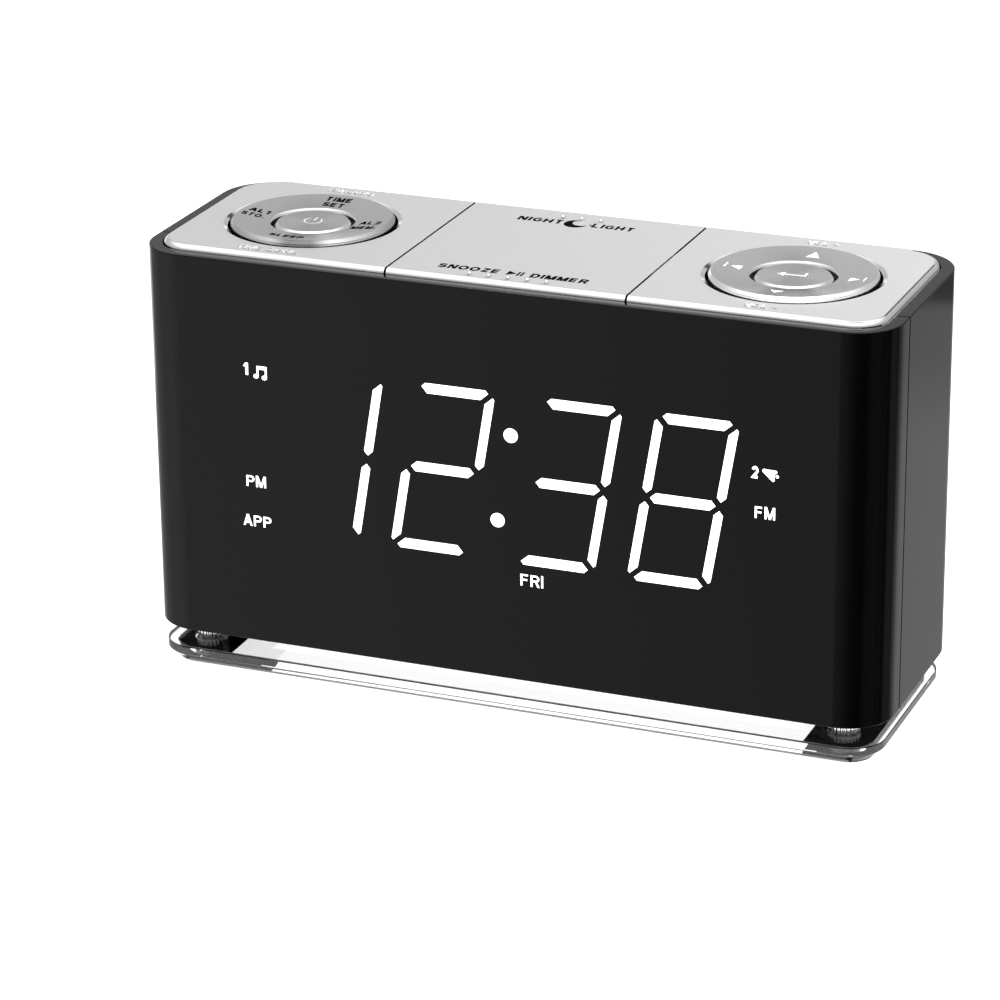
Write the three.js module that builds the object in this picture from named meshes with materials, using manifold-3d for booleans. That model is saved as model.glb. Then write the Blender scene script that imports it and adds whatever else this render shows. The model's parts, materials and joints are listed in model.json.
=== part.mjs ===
// A bedside clock radio: a gloss black cabinet of two shells on four chrome posts and a clear base,
// with a silver top deck that holds a rocking snooze bar and two round four-way control dials.
// Millimetres, +Z up, -Y is the front, and the origin is on the table under the middle of the cabinet.
import * as THREE from "three";
import { mergeVertices } from "three/addons/utils/BufferGeometryUtils.js";
import Module from "manifold-3d";

const wasm = await Module();
wasm.setup();

// ---------------------------------------------------------------- driving dimensions

const GAP = 0.3; // clearance between neighbouring pieces
const CORNER_STEPS = 8; // facets in a rounded corner that shows
const HIDDEN_STEPS = 3; // and in one that doesn't
const LARGE = 36; // facets round the dials
const MEDIUM = 16; // round posts, loudspeaker and battery
const SMALL = 8; // round screws, bores and pins

// Cabinet
const BODY_WIDTH = 200;
const BODY_DEPTH = 68;
const BODY_HEIGHT = 103;
const FRONT_RADIUS = 12.5;
const BACK_RADIUS = 14.5;
const WALL = 2.5;
const RIM_WIDTH = 3.5;
const RIM_DEPTH = 4;
const SEAM_Y = -17.5; // joint between the front and rear shell
const LEDGE_WIDTH = 2.5;
const LEDGE_HEIGHT = 2.3;

// Base
const PAD_PROUD = 0.4;
const PAD_THICKNESS = 1;
const PAD_INNER_X = 78.8;
const PAD_INSET = 0.6;
const PLINTH_THICKNESS = 2.6;
const PLINTH_INSET = 3;
const FLANGE_THICKNESS = 2.6;
const BASE_WIDTH = 197;
const BASE_FRONT = -33;
const BASE_BACK = 30;
const BASE_RADIUS = 9.5;
const POST_LENGTH = 5.5;
const POST_RADIUS = 4.2;
const POST_X = 87.3;
const POST_FRONT_Y = -22;
const POST_BACK_Y = 19;

// Top deck
const PLATE_PROUD = 1.4;
const PLATE_INSET = 3.8;
const PLATE_SLAB = 2;
const PLATE_SKIRT = 1.5;
const BAR_HALF_WIDTH = 31.6;
const BAR_GAP = 0.6;
const DIAL_X = 65;

// Dial, as radii and as heights above the silver deck
const WELL_RADIUS = 21.7;
const WELL_CHAMFER = 0.8;
const RING_OUTER = 21.2;
const RING_INNER = 10.7;
const RING_FLANGE = 23;
const RING_RISE = 1.1;
const CENTRE_RADIUS = 9.9;
const CENTRE_FLANGE = 11.7;
const GIMBAL_INNER = 12.2;
const GIMBAL_OUTER = 15.2;
const SUPPORT_REACH = 13.4;
const KEY_REACH = 18;

// Snooze bar
const PIVOT_Y = -2;
const PIVOT_RADIUS = 1.4;
const EAR_HALF_LENGTH = 9.2;
const SNOOZE_KEY_Y = -22;
const NIGHT_KEY_Y = 20;

// Display: a four-digit clock display with slanted 45 mm figures
const DISPLAY_X = 1.3;
const DISPLAY_RISE = 54.45; // middle of the figures above the bottom of the cabinet
const DIGIT_PITCH = 30.2;
const COLON_ROOM = 3.4;
const SLANT = 0.169;
const SEGMENT_WIDTH = 2.75;
const SEGMENT_SPAN = 19.3; // between the centre lines of the left and right segments
const SEGMENT_RISE = 21.2; // between the centre lines of two level segments
const COLON_REACH = 11.5;
const COLON_RADIUS = 1.9;

// Inside
const MAIN_BOARD_FRONT = -14;
const CABLE = { x: 18, y: -18, halfWidth: 9 };

// Back panel
const SPEAKER = { x: -45, z: 62, grille: 21, flange: 27 };
const BATTERY = { x: 62, z: 68, hole: 13.4 };
const USB = { x: 54, z: 29.15, width: 13.1, height: 5.7 };
const POWER = { x: 74, z: 32.8, nose: 3.9 };
const GLAND = { x: -66, z: 24, radius: 2.6 };
const CASE_SCREW_X = 80;
const CASE_SCREW_Z = [20.5, 90];

// Heights that follow from the dimensions above
const PLINTH_BOTTOM = PAD_PROUD;
const FLANGE_BOTTOM = PLINTH_BOTTOM + PLINTH_THICKNESS;
const BASE_TOP = FLANGE_BOTTOM + FLANGE_THICKNESS;
const BODY_BOTTOM = BASE_TOP + POST_LENGTH;
const BODY_TOP = BODY_BOTTOM + BODY_HEIGHT;
const PLATE_TOP = BODY_TOP + PLATE_PROUD;
const SLAB_BOTTOM = PLATE_TOP - PLATE_SLAB;
const SKIRT_BOTTOM = SLAB_BOTTOM - 3.2;
const DECK_TOP = BODY_TOP - 13.1;
const DECK_THICKNESS = 2;
const DECK_BOTTOM = DECK_TOP - DECK_THICKNESS;
const KEY_BOARD_TOP = DECK_TOP + GAP + 1.6;
const SWITCH_BOTTOM = KEY_BOARD_TOP + GAP;
const SWITCH_TOP = SWITCH_BOTTOM + 3.5;
const STEM_TOP = SWITCH_TOP + 0.9;
const PLUNGER_END = STEM_TOP + 0.75;
const PIVOT_Z = SLAB_BOTTOM - 1.7;
const DISPLAY_Z = BODY_BOTTOM + DISPLAY_RISE;
const BACK_INNER = BODY_DEPTH / 2 - WALL;
const FRONT_INNER = -BODY_DEPTH / 2 + WALL;

// ---------------------------------------------------------------- materials

const finish = (color, roughness, metalness = 0, opacity = 1) =>
  new THREE.MeshStandardMaterial({ color, roughness, metalness, opacity, transparent: opacity < 1 });

const FINISHES = {
  glossBlack: () => finish(0x1a1a1b, 0.12),
  silver: () => finish(0xcfcfcf, 0.38, 0.7),
  spunSilver: () => finish(0xb9b9ba, 0.25, 0.9),
  chrome: () => finish(0xe8e8ea, 0.06, 1),
  clear: () => finish(0xf4f7f7, 0.03, 0, 0.35),
  rubber: () => finish(0x0c0c0d, 0.75),
  mattBlack: () => finish(0x232324, 0.55),
  whitePlastic: () => finish(0xf2f2ee, 0.5),
  naturalPlastic: () => finish(0xcfcdc4, 0.6),
  lit: () => finish(0xffffff, 0.4),
  board: () => finish(0x1f5a36, 0.45),
  steel: () => finish(0x9a9c9e, 0.35, 0.9),
  magnet: () => finish(0x3a3a3c, 0.5, 0.3),
  paper: () => finish(0x2b2a28, 0.85),
};

// ---------------------------------------------------------------- solids

// A geometry as a solid: positions only, shared vertices merged, flat slivers dropped.
function solid(geometry) {
  const bare = geometry.clone();
  bare.deleteAttribute("normal");
  bare.deleteAttribute("uv");
  const merged = mergeVertices(bare, 1e-4);
  const corners = merged.index.array;
  const kept = [];
  for (let i = 0; i < corners.length; i += 3) {
    const [a, b, c] = [corners[i], corners[i + 1], corners[i + 2]];
    if (a !== b && b !== c && c !== a) kept.push(a, b, c);
  }
  const mesh = new wasm.Mesh({
    numProp: 3,
    vertProperties: new Float32Array(merged.attributes.position.array),
    triVerts: new Uint32Array(kept),
  });
  return new wasm.Manifold(mesh);
}

function geometryOf(body) {
  const made = body.getMesh();
  const geometry = new THREE.BufferGeometry();
  geometry.setAttribute("position", new THREE.BufferAttribute(made.vertProperties, 3));
  geometry.setIndex(new THREE.BufferAttribute(made.triVerts, 1));
  geometry.computeVertexNormals();
  return geometry;
}

const join = (...geometries) => geometryOf(geometries.map(solid).reduce((all, next) => all.add(next)));

const cut = (geometry, ...tools) =>
  geometryOf(tools.map(solid).reduce((left, tool) => left.subtract(tool), solid(geometry)));

const common = (first, second) => geometryOf(solid(first).intersect(solid(second)));

function block(x0, x1, y0, y1, z0, z1) {
  const box = new THREE.BoxGeometry(x1 - x0, y1 - y0, z1 - z0);
  return box.translate((x0 + x1) / 2, (y0 + y1) / 2, (z0 + z1) / 2);
}

function rod(x, y, radius, z0, z1, sides = SMALL) {
  const cylinder = new THREE.CylinderGeometry(radius, radius, z1 - z0, sides);
  return cylinder.rotateX(Math.PI / 2).translate(x, y, (z0 + z1) / 2);
}

// A rod from front to back through the point (x, z).
function backRod(x, z, radius, y0, y1, sides = SMALL) {
  const cylinder = new THREE.CylinderGeometry(radius, radius, y1 - y0, sides);
  return cylinder.translate(x, (y0 + y1) / 2, z);
}

// A turned piece about Z. The profile is a list of [radius, height], with the material on its left.
function turned(profile, sides) {
  const points = profile.map(([radius, height]) => new THREE.Vector2(radius, height));
  return new THREE.LatheGeometry(points, sides).rotateX(Math.PI / 2);
}

// A turned piece behind the back wall: its profile is a list of [radius, depth inwards from faceY].
function turnedInwards(profile, sides, x, faceY, z) {
  const points = profile.map(([radius, depth]) => new THREE.Vector2(radius, -depth));
  return new THREE.LatheGeometry(points, sides).translate(x, faceY, z);
}

// The closed profile of a ring, a tube or a hollow turned piece.
const closed = (profile) => [...profile, profile[0]];

function roundedRectangle(x0, x1, y0, y1, frontRadius, backRadius = frontRadius) {
  const shape = new THREE.Shape();
  shape.absarc(x1 - frontRadius, y0 + frontRadius, frontRadius, -Math.PI / 2, 0);
  shape.absarc(x1 - backRadius, y1 - backRadius, backRadius, 0, Math.PI / 2);
  shape.absarc(x0 + backRadius, y1 - backRadius, backRadius, Math.PI / 2, Math.PI);
  shape.absarc(x0 + frontRadius, y0 + frontRadius, frontRadius, Math.PI, (3 * Math.PI) / 2);
  shape.closePath();
  return shape;
}

function prism(shape, z0, z1, steps = CORNER_STEPS) {
  const options = { depth: z1 - z0, bevelEnabled: false, curveSegments: steps };
  return new THREE.ExtrudeGeometry(shape, options).translate(0, 0, z0);
}

// A shape drawn in x and z, pushed from y0 back to y1.
function frontPrism(shape, y0, y1, steps = 4) {
  const options = { depth: y1 - y0, bevelEnabled: false, curveSegments: steps };
  return new THREE.ExtrudeGeometry(shape, options).rotateX(Math.PI / 2).translate(0, y1, 0);
}

// The outline of the cabinet, moved inwards by inset.
function cabinetOutline(inset) {
  const x = BODY_WIDTH / 2 - inset;
  const y = BODY_DEPTH / 2 - inset;
  return roundedRectangle(-x, x, -y, y, FRONT_RADIUS - inset, BACK_RADIUS - inset);
}

const cabinetPrism = (inset, z0, z1, steps) => prism(cabinetOutline(inset), z0, z1, steps);

function named(name, material, geometry) {
  const mesh = new THREE.Mesh(geometry, material());
  mesh.name = name;
  return mesh;
}

const SIDES = [
  { name: "left", sign: -1 },
  { name: "right", sign: 1 },
];
const POSTS = SIDES.flatMap(({ name, sign }) => [
  { name: `front_${name}`, x: sign * POST_X, y: POST_FRONT_Y },
  { name: `back_${name}`, x: sign * POST_X, y: POST_BACK_Y },
]);
const HUGE = 300;

// ---------------------------------------------------------------- cabinet shells

const SCREW_BORE = 1.9;
const BOSS_RADIUS = 3.6;
const POST_BOSS_HEIGHT = 8;
const CASE_BOSS_DEPTH = 8;
const LIGHT_SLOT = { x: 74, y0: -14, y1: 0 };

const CASE_SCREWS = SIDES.flatMap(({ name, sign }) =>
  CASE_SCREW_Z.map((z, level) => ({ name: `${["lower", "upper"][level]}_${name}`, x: sign * CASE_SCREW_X, z })),
);

// The hollow box that both shells are cut from, open at the top inside its rim.
function cabinetBox() {
  const outside = cabinetPrism(0, BODY_BOTTOM, BODY_TOP);
  const cavity = cabinetPrism(WALL, BODY_BOTTOM + WALL, BODY_TOP - RIM_DEPTH, HIDDEN_STEPS);
  const opening = cabinetPrism(RIM_WIDTH, BODY_TOP - RIM_DEPTH - 1, BODY_TOP + 1);
  const ledgeTop = DECK_BOTTOM - GAP;
  const ledge = cut(
    cabinetPrism(WALL / 2, ledgeTop - LEDGE_HEIGHT, ledgeTop, HIDDEN_STEPS),
    cabinetPrism(WALL + LEDGE_WIDTH, ledgeTop - LEDGE_HEIGHT - 1, ledgeTop + 1, HIDDEN_STEPS),
  );
  return join(cut(outside, cavity, opening), ledge);
}

// A boss over each post of one shell, bored from below for the screw of that post.
function withPostBosses(shell, posts) {
  const top = BODY_BOTTOM + WALL + POST_BOSS_HEIGHT;
  const bosses = posts.map(({ x, y }) => rod(x, y, BOSS_RADIUS, BODY_BOTTOM + 1, top));
  const bores = posts.map(({ x, y }) => rod(x, y, SCREW_BORE, BODY_BOTTOM - 1, top + 1));
  return cut(join(shell, ...bosses), ...bores);
}

function frontShell() {
  const half = block(-HUGE, HUGE, -HUGE, SEAM_Y - GAP / 2, -HUGE, HUGE);
  const posts = POSTS.filter(({ y }) => y < SEAM_Y);
  return withPostBosses(common(cabinetBox(), half), posts);
}

// Level slots with round ends, inside a circle over the loudspeaker.
function grilleSlots() {
  const pitch = 4.2;
  const halfHeight = 1;
  const slots = [];
  for (let row = -4; row <= 4; row += 1) {
    const z = SPEAKER.z + row * pitch;
    const reach = Math.sqrt(SPEAKER.grille ** 2 - (row * pitch) ** 2) - halfHeight;
    const slot = new THREE.Shape();
    slot.absarc(SPEAKER.x + reach, z, halfHeight, -Math.PI / 2, Math.PI / 2);
    slot.absarc(SPEAKER.x - reach, z, halfHeight, Math.PI / 2, (3 * Math.PI) / 2);
    slot.closePath();
    slots.push(frontPrism(slot, BACK_INNER - 1, BODY_DEPTH / 2 + 1, HIDDEN_STEPS));
  }
  return slots;
}

function rearShell() {
  const half = block(-HUGE, HUGE, SEAM_Y + GAP / 2, HUGE, -HUGE, HUGE);
  const posts = POSTS.filter(({ y }) => y > SEAM_Y);
  const through = [BACK_INNER - 1, BODY_DEPTH / 2 + 1];
  const caseBosses = CASE_SCREWS.map(({ x, z }) =>
    backRod(x, z, BOSS_RADIUS, BACK_INNER - CASE_BOSS_DEPTH, BACK_INNER + 1),
  );
  const caseBores = CASE_SCREWS.flatMap(({ x, z }) => [
    backRod(x, z, SCREW_BORE, BACK_INNER - CASE_BOSS_DEPTH - 1, BODY_DEPTH / 2 + 1),
    backRod(x, z, 3.3, BODY_DEPTH / 2 - 1.6, BODY_DEPTH / 2 + 1, MEDIUM),
  ]);
  const usbHalf = USB.width / 2 + GAP;
  const usbRise = USB.height / 2 + GAP;
  const sockets = [
    block(USB.x - usbHalf, USB.x + usbHalf, ...through, USB.z - usbRise, USB.z + usbRise),
    backRod(POWER.x, POWER.z, POWER.nose + GAP, ...through, MEDIUM),
    backRod(GLAND.x, GLAND.z, GLAND.radius + GAP, ...through, MEDIUM),
    backRod(BATTERY.x, BATTERY.z, BATTERY.hole, ...through, LARGE),
  ];
  const lightSlot = block(
    -LIGHT_SLOT.x, LIGHT_SLOT.x, LIGHT_SLOT.y0, LIGHT_SLOT.y1, BODY_BOTTOM - 1, BODY_BOTTOM + WALL + 1,
  );
  const shell = join(withPostBosses(common(cabinetBox(), half), posts), ...caseBosses);
  return cut(shell, ...caseBores, ...sockets, ...grilleSlots(), lightSlot);
}

// A pan-head screw from faceY inwards, with a cross recess.
function caseScrew({ name, x, z }) {
  const faceY = BODY_DEPTH / 2 - 0.3;
  const headDepth = 1;
  const head = backRod(x, z, 2.8, faceY - headDepth, faceY, MEDIUM);
  const shank = backRod(x, z, 1.5, BACK_INNER - CASE_BOSS_DEPTH + 1, faceY - headDepth + 0.1);
  const recess = [
    block(x - 1.5, x + 1.5, faceY - 0.6, faceY + 1, z - 0.35, z + 0.35),
    block(x - 0.35, x + 0.35, faceY - 0.6, faceY + 1, z - 1.5, z + 1.5),
  ];
  return named(`case_screw_${name}`, FINISHES.steel, cut(join(head, shank), ...recess));
}

function cabinet() {
  const group = new THREE.Group();
  group.add(named("front_shell", FINISHES.glossBlack, frontShell()));
  group.add(named("rear_shell", FINISHES.glossBlack, rearShell()));
  CASE_SCREWS.forEach((screw) => group.add(caseScrew(screw)));
  return group;
}

// ---------------------------------------------------------------- silver top deck

const barEdge = BAR_HALF_WIDTH;
const plateEdge = BAR_HALF_WIDTH + BAR_GAP;

// A shallow cover between x0 and x1 of the deck's outline: a slab with a skirt along its edge.
function deckCover(x0, x1, bottom) {
  const slice = block(x0, x1, -HUGE, HUGE, -HUGE, HUGE);
  const outside = common(cabinetPrism(PLATE_INSET, bottom, PLATE_TOP), slice);
  const innerSlice = block(x0 + PLATE_SKIRT, x1 - PLATE_SKIRT, -HUGE, HUGE, -HUGE, HUGE);
  const hollow = common(cabinetPrism(PLATE_INSET + PLATE_SKIRT, bottom - 1, SLAB_BOTTOM), innerSlice);
  return cut(outside, hollow);
}

// A side plate with its round well and a notch in its inner skirt for the pivot of the snooze bar.
function topPlate({ name, sign }) {
  const far = BODY_WIDTH / 2;
  const cover = sign < 0 ? deckCover(-far, -plateEdge, SKIRT_BOTTOM) : deckCover(plateEdge, far, SKIRT_BOTTOM);
  const well = turned(
    [
      [0, SKIRT_BOTTOM - 1],
      [WELL_RADIUS, SKIRT_BOTTOM - 1],
      [WELL_RADIUS, PLATE_TOP - WELL_CHAMFER],
      [WELL_RADIUS + 2 * WELL_CHAMFER, PLATE_TOP + WELL_CHAMFER],
      [0, PLATE_TOP + WELL_CHAMFER],
    ],
    LARGE,
  ).translate(sign * DIAL_X, 0, 0);
  const [notchNear, notchFar] = [sign * (plateEdge - 1), sign * (plateEdge + PLATE_SKIRT + 1)];
  const notchHalf = PIVOT_RADIUS + 2 * GAP;
  const notch = block(
    Math.min(notchNear, notchFar), Math.max(notchNear, notchFar),
    PIVOT_Y - notchHalf, PIVOT_Y + notchHalf, SKIRT_BOTTOM - 1, SLAB_BOTTOM,
  );
  return named(`top_plate_${name}`, FINISHES.silver, cut(cover, well, notch));
}

// The rocking bar between the plates: two pivot pins at its sides, a plunger for each end.
function snoozeBar() {
  const cover = deckCover(-barEdge, barEdge, SKIRT_BOTTOM + 0.9);
  const pinReach = BAR_HALF_WIDTH + 5.6;
  const pins = SIDES.map(({ sign }) =>
    new THREE.CylinderGeometry(PIVOT_RADIUS, PIVOT_RADIUS, pinReach - barEdge + 1, SMALL)
      .rotateZ(Math.PI / 2)
      .translate((sign * (pinReach + barEdge - 1)) / 2, PIVOT_Y, PIVOT_Z),
  );
  const ears = block(
    -barEdge - BAR_GAP + 0.25, barEdge + BAR_GAP - 0.25,
    PIVOT_Y - EAR_HALF_LENGTH, PIVOT_Y + EAR_HALF_LENGTH, SLAB_BOTTOM + 0.2, PLATE_TOP - 0.4,
  );
  const plungers = [SNOOZE_KEY_Y, NIGHT_KEY_Y].map((y) => rod(0, y, 2.2, PLUNGER_END, SLAB_BOTTOM + 0.5));
  return named("snooze_bar", FINISHES.silver, join(cover, ears, ...pins, ...plungers));
}

// The slot in the tray and the key board that the ribbon cable comes up through.
const cableSlot = () =>
  block(
    CABLE.x - CABLE.halfWidth - 2, CABLE.x + CABLE.halfWidth + 2, CABLE.y - 3, CABLE.y + 3,
    DECK_BOTTOM - 1, KEY_BOARD_TOP + 1,
  );

// The moulded tray under the deck: it carries the key board, the bar's cradles and the dial supports.
function topChassis() {
  const deck = cabinetPrism(WALL + 0.7, DECK_BOTTOM, DECK_TOP, HIDDEN_STEPS);
  const wallTop = SKIRT_BOTTOM - GAP;
  const wall = cut(
    cabinetPrism(RIM_WIDTH + 0.5, DECK_TOP - 0.5, wallTop, HIDDEN_STEPS),
    cabinetPrism(RIM_WIDTH + 2, DECK_TOP - 1, wallTop + 1, HIDDEN_STEPS),
  );
  const supports = SIDES.flatMap(({ sign }) =>
    [-1, 1].map((end) =>
      rod(sign * DIAL_X + end * SUPPORT_REACH, 0, 1.2, DECK_TOP - 0.5, PLATE_TOP - 6.4),
    ),
  );
  const slotHalf = PIVOT_RADIUS + GAP;
  const cradles = SIDES.map(({ sign }) => {
    const middle = sign * (plateEdge + 3.4);
    const post = block(middle - 1.2, middle + 1.2, PIVOT_Y - 3, PIVOT_Y + 3, DECK_TOP - 0.5, PIVOT_Z - 0.2);
    const slot = block(
      middle - 2, middle + 2, PIVOT_Y - slotHalf, PIVOT_Y + slotHalf, PIVOT_Z - slotHalf, PIVOT_Z + 2,
    );
    return cut(post, slot);
  });
  const tray = join(deck, wall, ...supports, ...cradles);
  return named("top_chassis", FINISHES.naturalPlastic, cut(tray, cableSlot()));
}

function keyBoard() {
  const board = cabinetPrism(RIM_WIDTH + 2.5, DECK_TOP + GAP, KEY_BOARD_TOP, HIDDEN_STEPS);
  const [low, high] = [DECK_TOP - 1, KEY_BOARD_TOP + 1];
  const holes = SIDES.flatMap(({ sign }) => {
    const cradle = sign * (plateEdge + 3.4);
    return [
      rod(sign * DIAL_X - SUPPORT_REACH, 0, 1.8, low, high),
      rod(sign * DIAL_X + SUPPORT_REACH, 0, 1.8, low, high),
      block(cradle - 1.7, cradle + 1.7, PIVOT_Y - 3.5, PIVOT_Y + 3.5, low, high),
    ];
  });
  return named("key_board", FINISHES.board, cut(board, ...holes, cableSlot()));
}

// A tactile switch on the key board. Its stem stands at its pressed height.
function tactSwitch(name, x, y) {
  const body = block(x - 3, x + 3, y - 3, y + 3, SWITCH_BOTTOM, SWITCH_TOP);
  const stem = rod(x, y, 1.7, SWITCH_TOP - 0.5, STEM_TOP);
  return named(name, FINISHES.mattBlack, join(body, stem));
}

const DIRECTIONS = [
  { name: "front", x: 0, y: -1 },
  { name: "back", x: 0, y: 1 },
  { name: "left", x: -1, y: 0 },
  { name: "right", x: 1, y: 0 },
];

function dialSwitches({ name, sign }) {
  const centre = sign * DIAL_X;
  const around = DIRECTIONS.map((way) =>
    tactSwitch(`${name}_dial_switch_${way.name}`, centre + way.x * KEY_REACH, way.y * KEY_REACH),
  );
  return [...around, tactSwitch(`${name}_dial_switch_centre`, centre, 0)];
}

// The outer four-way ring of a dial: a shallow dish with a flange under the plate, a leg for each switch
// and two feet that rest on the gimbal.
function dialRing({ name }) {
  const flangeTop = -3.3;
  const under = -1.7;
  const body = turned(
    closed([
      [RING_INNER, -2.9],
      [12.2, -2.9],
      [12.2, -1.9],
      [19.6, -1.5],
      [19.6, flangeTop - 1],
      [RING_FLANGE, flangeTop - 1],
      [RING_FLANGE, flangeTop],
      [RING_OUTER, flangeTop],
      [RING_OUTER, RING_RISE - 0.9],
      [RING_OUTER - 0.9, RING_RISE],
      [15.5, 0.42],
      [RING_INNER + 0.6, 0.12],
      [RING_INNER, -0.35],
    ]),
    LARGE,
  );
  const legs = DIRECTIONS.map((way) =>
    rod(way.x * KEY_REACH, way.y * KEY_REACH, 1.5, PLUNGER_END - PLATE_TOP, under + 0.5),
  );
  const feet = [-1, 1].map((end) => rod(0, end * SUPPORT_REACH, 1.1, -4.8, under + 0.2));
  return named(`${name}_dial_ring`, FINISHES.spunSilver, join(body, ...legs, ...feet));
}

// The round push button in the middle of a dial, held up under the ring by its flange.
function dialCentre({ name }) {
  const plungerRadius = 2;
  const plungerEnd = STEM_TOP + 0.95 - PLATE_TOP;
  const body = turned(
    [
      [0, plungerEnd],
      [plungerRadius, plungerEnd],
      [plungerRadius, -1.9],
      [8.5, -1.9],
      [8.5, -4.5],
      [CENTRE_FLANGE, -4.5],
      [CENTRE_FLANGE, -3.6],
      [CENTRE_RADIUS, -3.6],
      [CENTRE_RADIUS, -0.75],
      [CENTRE_RADIUS - 1, 0.05],
      [0, 0.05],
    ],
    LARGE,
  );
  return named(`${name}_dial_centre`, FINISHES.spunSilver, body);
}

// The tilting web between the chassis supports, which lie left and right, and the feet of the ring.
function dialGimbal({ name }) {
  const [low, high] = [-6.1, -5.1];
  const web = turned(
    closed([
      [GIMBAL_INNER, low],
      [GIMBAL_OUTER, low],
      [GIMBAL_OUTER, high],
      [GIMBAL_INNER, high],
    ]),
    MEDIUM,
  );
  return named(`${name}_dial_gimbal`, FINISHES.naturalPlastic, web);
}

function dial(side) {
  const group = new THREE.Group();
  group.position.set(side.sign * DIAL_X, 0, PLATE_TOP);
  group.add(dialRing(side), dialCentre(side), dialGimbal(side));
  return group;
}

function topDeck() {
  const group = new THREE.Group();
  group.add(snoozeBar(), topChassis(), keyBoard());
  group.add(tactSwitch("snooze_switch", 0, SNOOZE_KEY_Y), tactSwitch("night_light_switch", 0, NIGHT_KEY_Y));
  SIDES.forEach((side) => group.add(topPlate(side), dial(side), ...dialSwitches(side)));
  return group;
}

// ---------------------------------------------------------------- display

const FRAME_FRONT = FRONT_INNER + GAP;
const FRAME_BACK = FRAME_FRONT + 7;
const FRAME_HALF_WIDTH = 76;
const FRAME_HALF_HEIGHT = 28.5;
const DIGIT_HALF_WIDTH = 14.5;
const DIGIT_HALF_HEIGHT = 25;

// A slanted bar of the figures with pointed ends, centred on (x, z) from the middle of its digit.
function segment(x, z, length, level) {
  const [long, short] = [length / 2, SEGMENT_WIDTH / 2];
  const corners = [
    [-long, 0],
    [short - long, -short],
    [long - short, -short],
    [long, 0],
    [long - short, short],
    [short - long, short],
  ].map(([along, across]) => (level ? [x + along, z + across] : [x + across, z - along]));
  return new THREE.Shape(corners.map(([px, pz]) => new THREE.Vector2(px + SLANT * pz, pz)));
}

// The seven bars of one figure.
function segments() {
  const [side, rise] = [SEGMENT_SPAN / 2, SEGMENT_RISE];
  const gap = 0.9;
  const levels = [-rise, 0, rise].map((z) => segment(0, z, SEGMENT_SPAN - 2 * gap, true));
  const uprights = [-side, side].flatMap((x) =>
    [-rise / 2, rise / 2].map((z) => segment(x, z, rise - 2 * gap, false)),
  );
  return [...levels, ...uprights];
}

const DIGITS = [
  { name: "hour_tens", x: DISPLAY_X - DIGIT_PITCH * 1.5 - COLON_ROOM / 2 },
  { name: "hour_units", x: DISPLAY_X - DIGIT_PITCH * 0.5 - COLON_ROOM / 2 },
  { name: "minute_tens", x: DISPLAY_X + DIGIT_PITCH * 0.5 + COLON_ROOM / 2 },
  { name: "minute_units", x: DISPLAY_X + DIGIT_PITCH * 1.5 + COLON_ROOM / 2 },
];

// Small lamp windows beside the figures: the modes, the alarms and the day, as distances from the middle.
const LAMPS = [
  { x: -66.5, rise: 20.2 },
  { x: -66.5, rise: -10 },
  { x: -66.5, rise: -21 },
  { x: 69, rise: 10.2 },
  { x: 69, rise: 0 },
];

function displayFrame() {
  const body = block(
    -FRAME_HALF_WIDTH, FRAME_HALF_WIDTH, FRAME_FRONT, FRAME_BACK,
    DISPLAY_Z - FRAME_HALF_HEIGHT, DISPLAY_Z + FRAME_HALF_HEIGHT,
  );
  const windows = DIGITS.map(({ x }) =>
    block(
      x - DIGIT_HALF_WIDTH - GAP, x + DIGIT_HALF_WIDTH + GAP, FRAME_FRONT - 1, FRAME_BACK + 1,
      DISPLAY_Z - DIGIT_HALF_HEIGHT - GAP, DISPLAY_Z + DIGIT_HALF_HEIGHT + GAP,
    ),
  );
  const lampWells = LAMPS.map(({ x, rise }) =>
    block(
      x - 4.5, x + 4.5, FRAME_FRONT - 1, FRAME_BACK + 1, DISPLAY_Z + rise - 2.4, DISPLAY_Z + rise + 2.4,
    ),
  );
  const colonWells = [-1, 1].map((end) =>
    backRod(
      DISPLAY_X + end * COLON_REACH * SLANT, DISPLAY_Z + end * COLON_REACH,
      COLON_RADIUS - 0.4, FRAME_FRONT - 1, FRAME_BACK + 1,
    ),
  );
  return named("display_frame", FINISHES.mattBlack, cut(body, ...windows, ...lampWells, ...colonWells));
}

// One digit of the display: a light box with its seven bars standing out of the front.
function digitModule({ name, x }) {
  const boxFront = FRAME_FRONT + 1.4;
  const box = block(
    -DIGIT_HALF_WIDTH, DIGIT_HALF_WIDTH, boxFront, FRAME_BACK - 0.2, -DIGIT_HALF_HEIGHT, DIGIT_HALF_HEIGHT,
  );
  const bars = segments().map((bar) => frontPrism(bar, FRAME_FRONT + 0.2, boxFront + 0.5, 1));
  const mesh = named(`digit_${name}`, FINISHES.lit, join(box, ...bars));
  mesh.position.set(x, 0, DISPLAY_Z);
  return mesh;
}

function displayBoard() {
  const back = FRAME_BACK + GAP;
  const board = block(
    -FRAME_HALF_WIDTH, FRAME_HALF_WIDTH, back, back + 1.6,
    DISPLAY_Z - FRAME_HALF_HEIGHT, DISPLAY_Z + FRAME_HALF_HEIGHT,
  );
  const driver = block(-9, 9, back + 1, back + 4, DISPLAY_Z - 4, DISPLAY_Z + 4);
  return named("display_board", FINISHES.board, join(board, driver));
}

function display() {
  const group = new THREE.Group();
  group.add(displayFrame(), displayBoard(), ...DIGITS.map(digitModule));
  return group;
}

// ---------------------------------------------------------------- electronics and sockets

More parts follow.
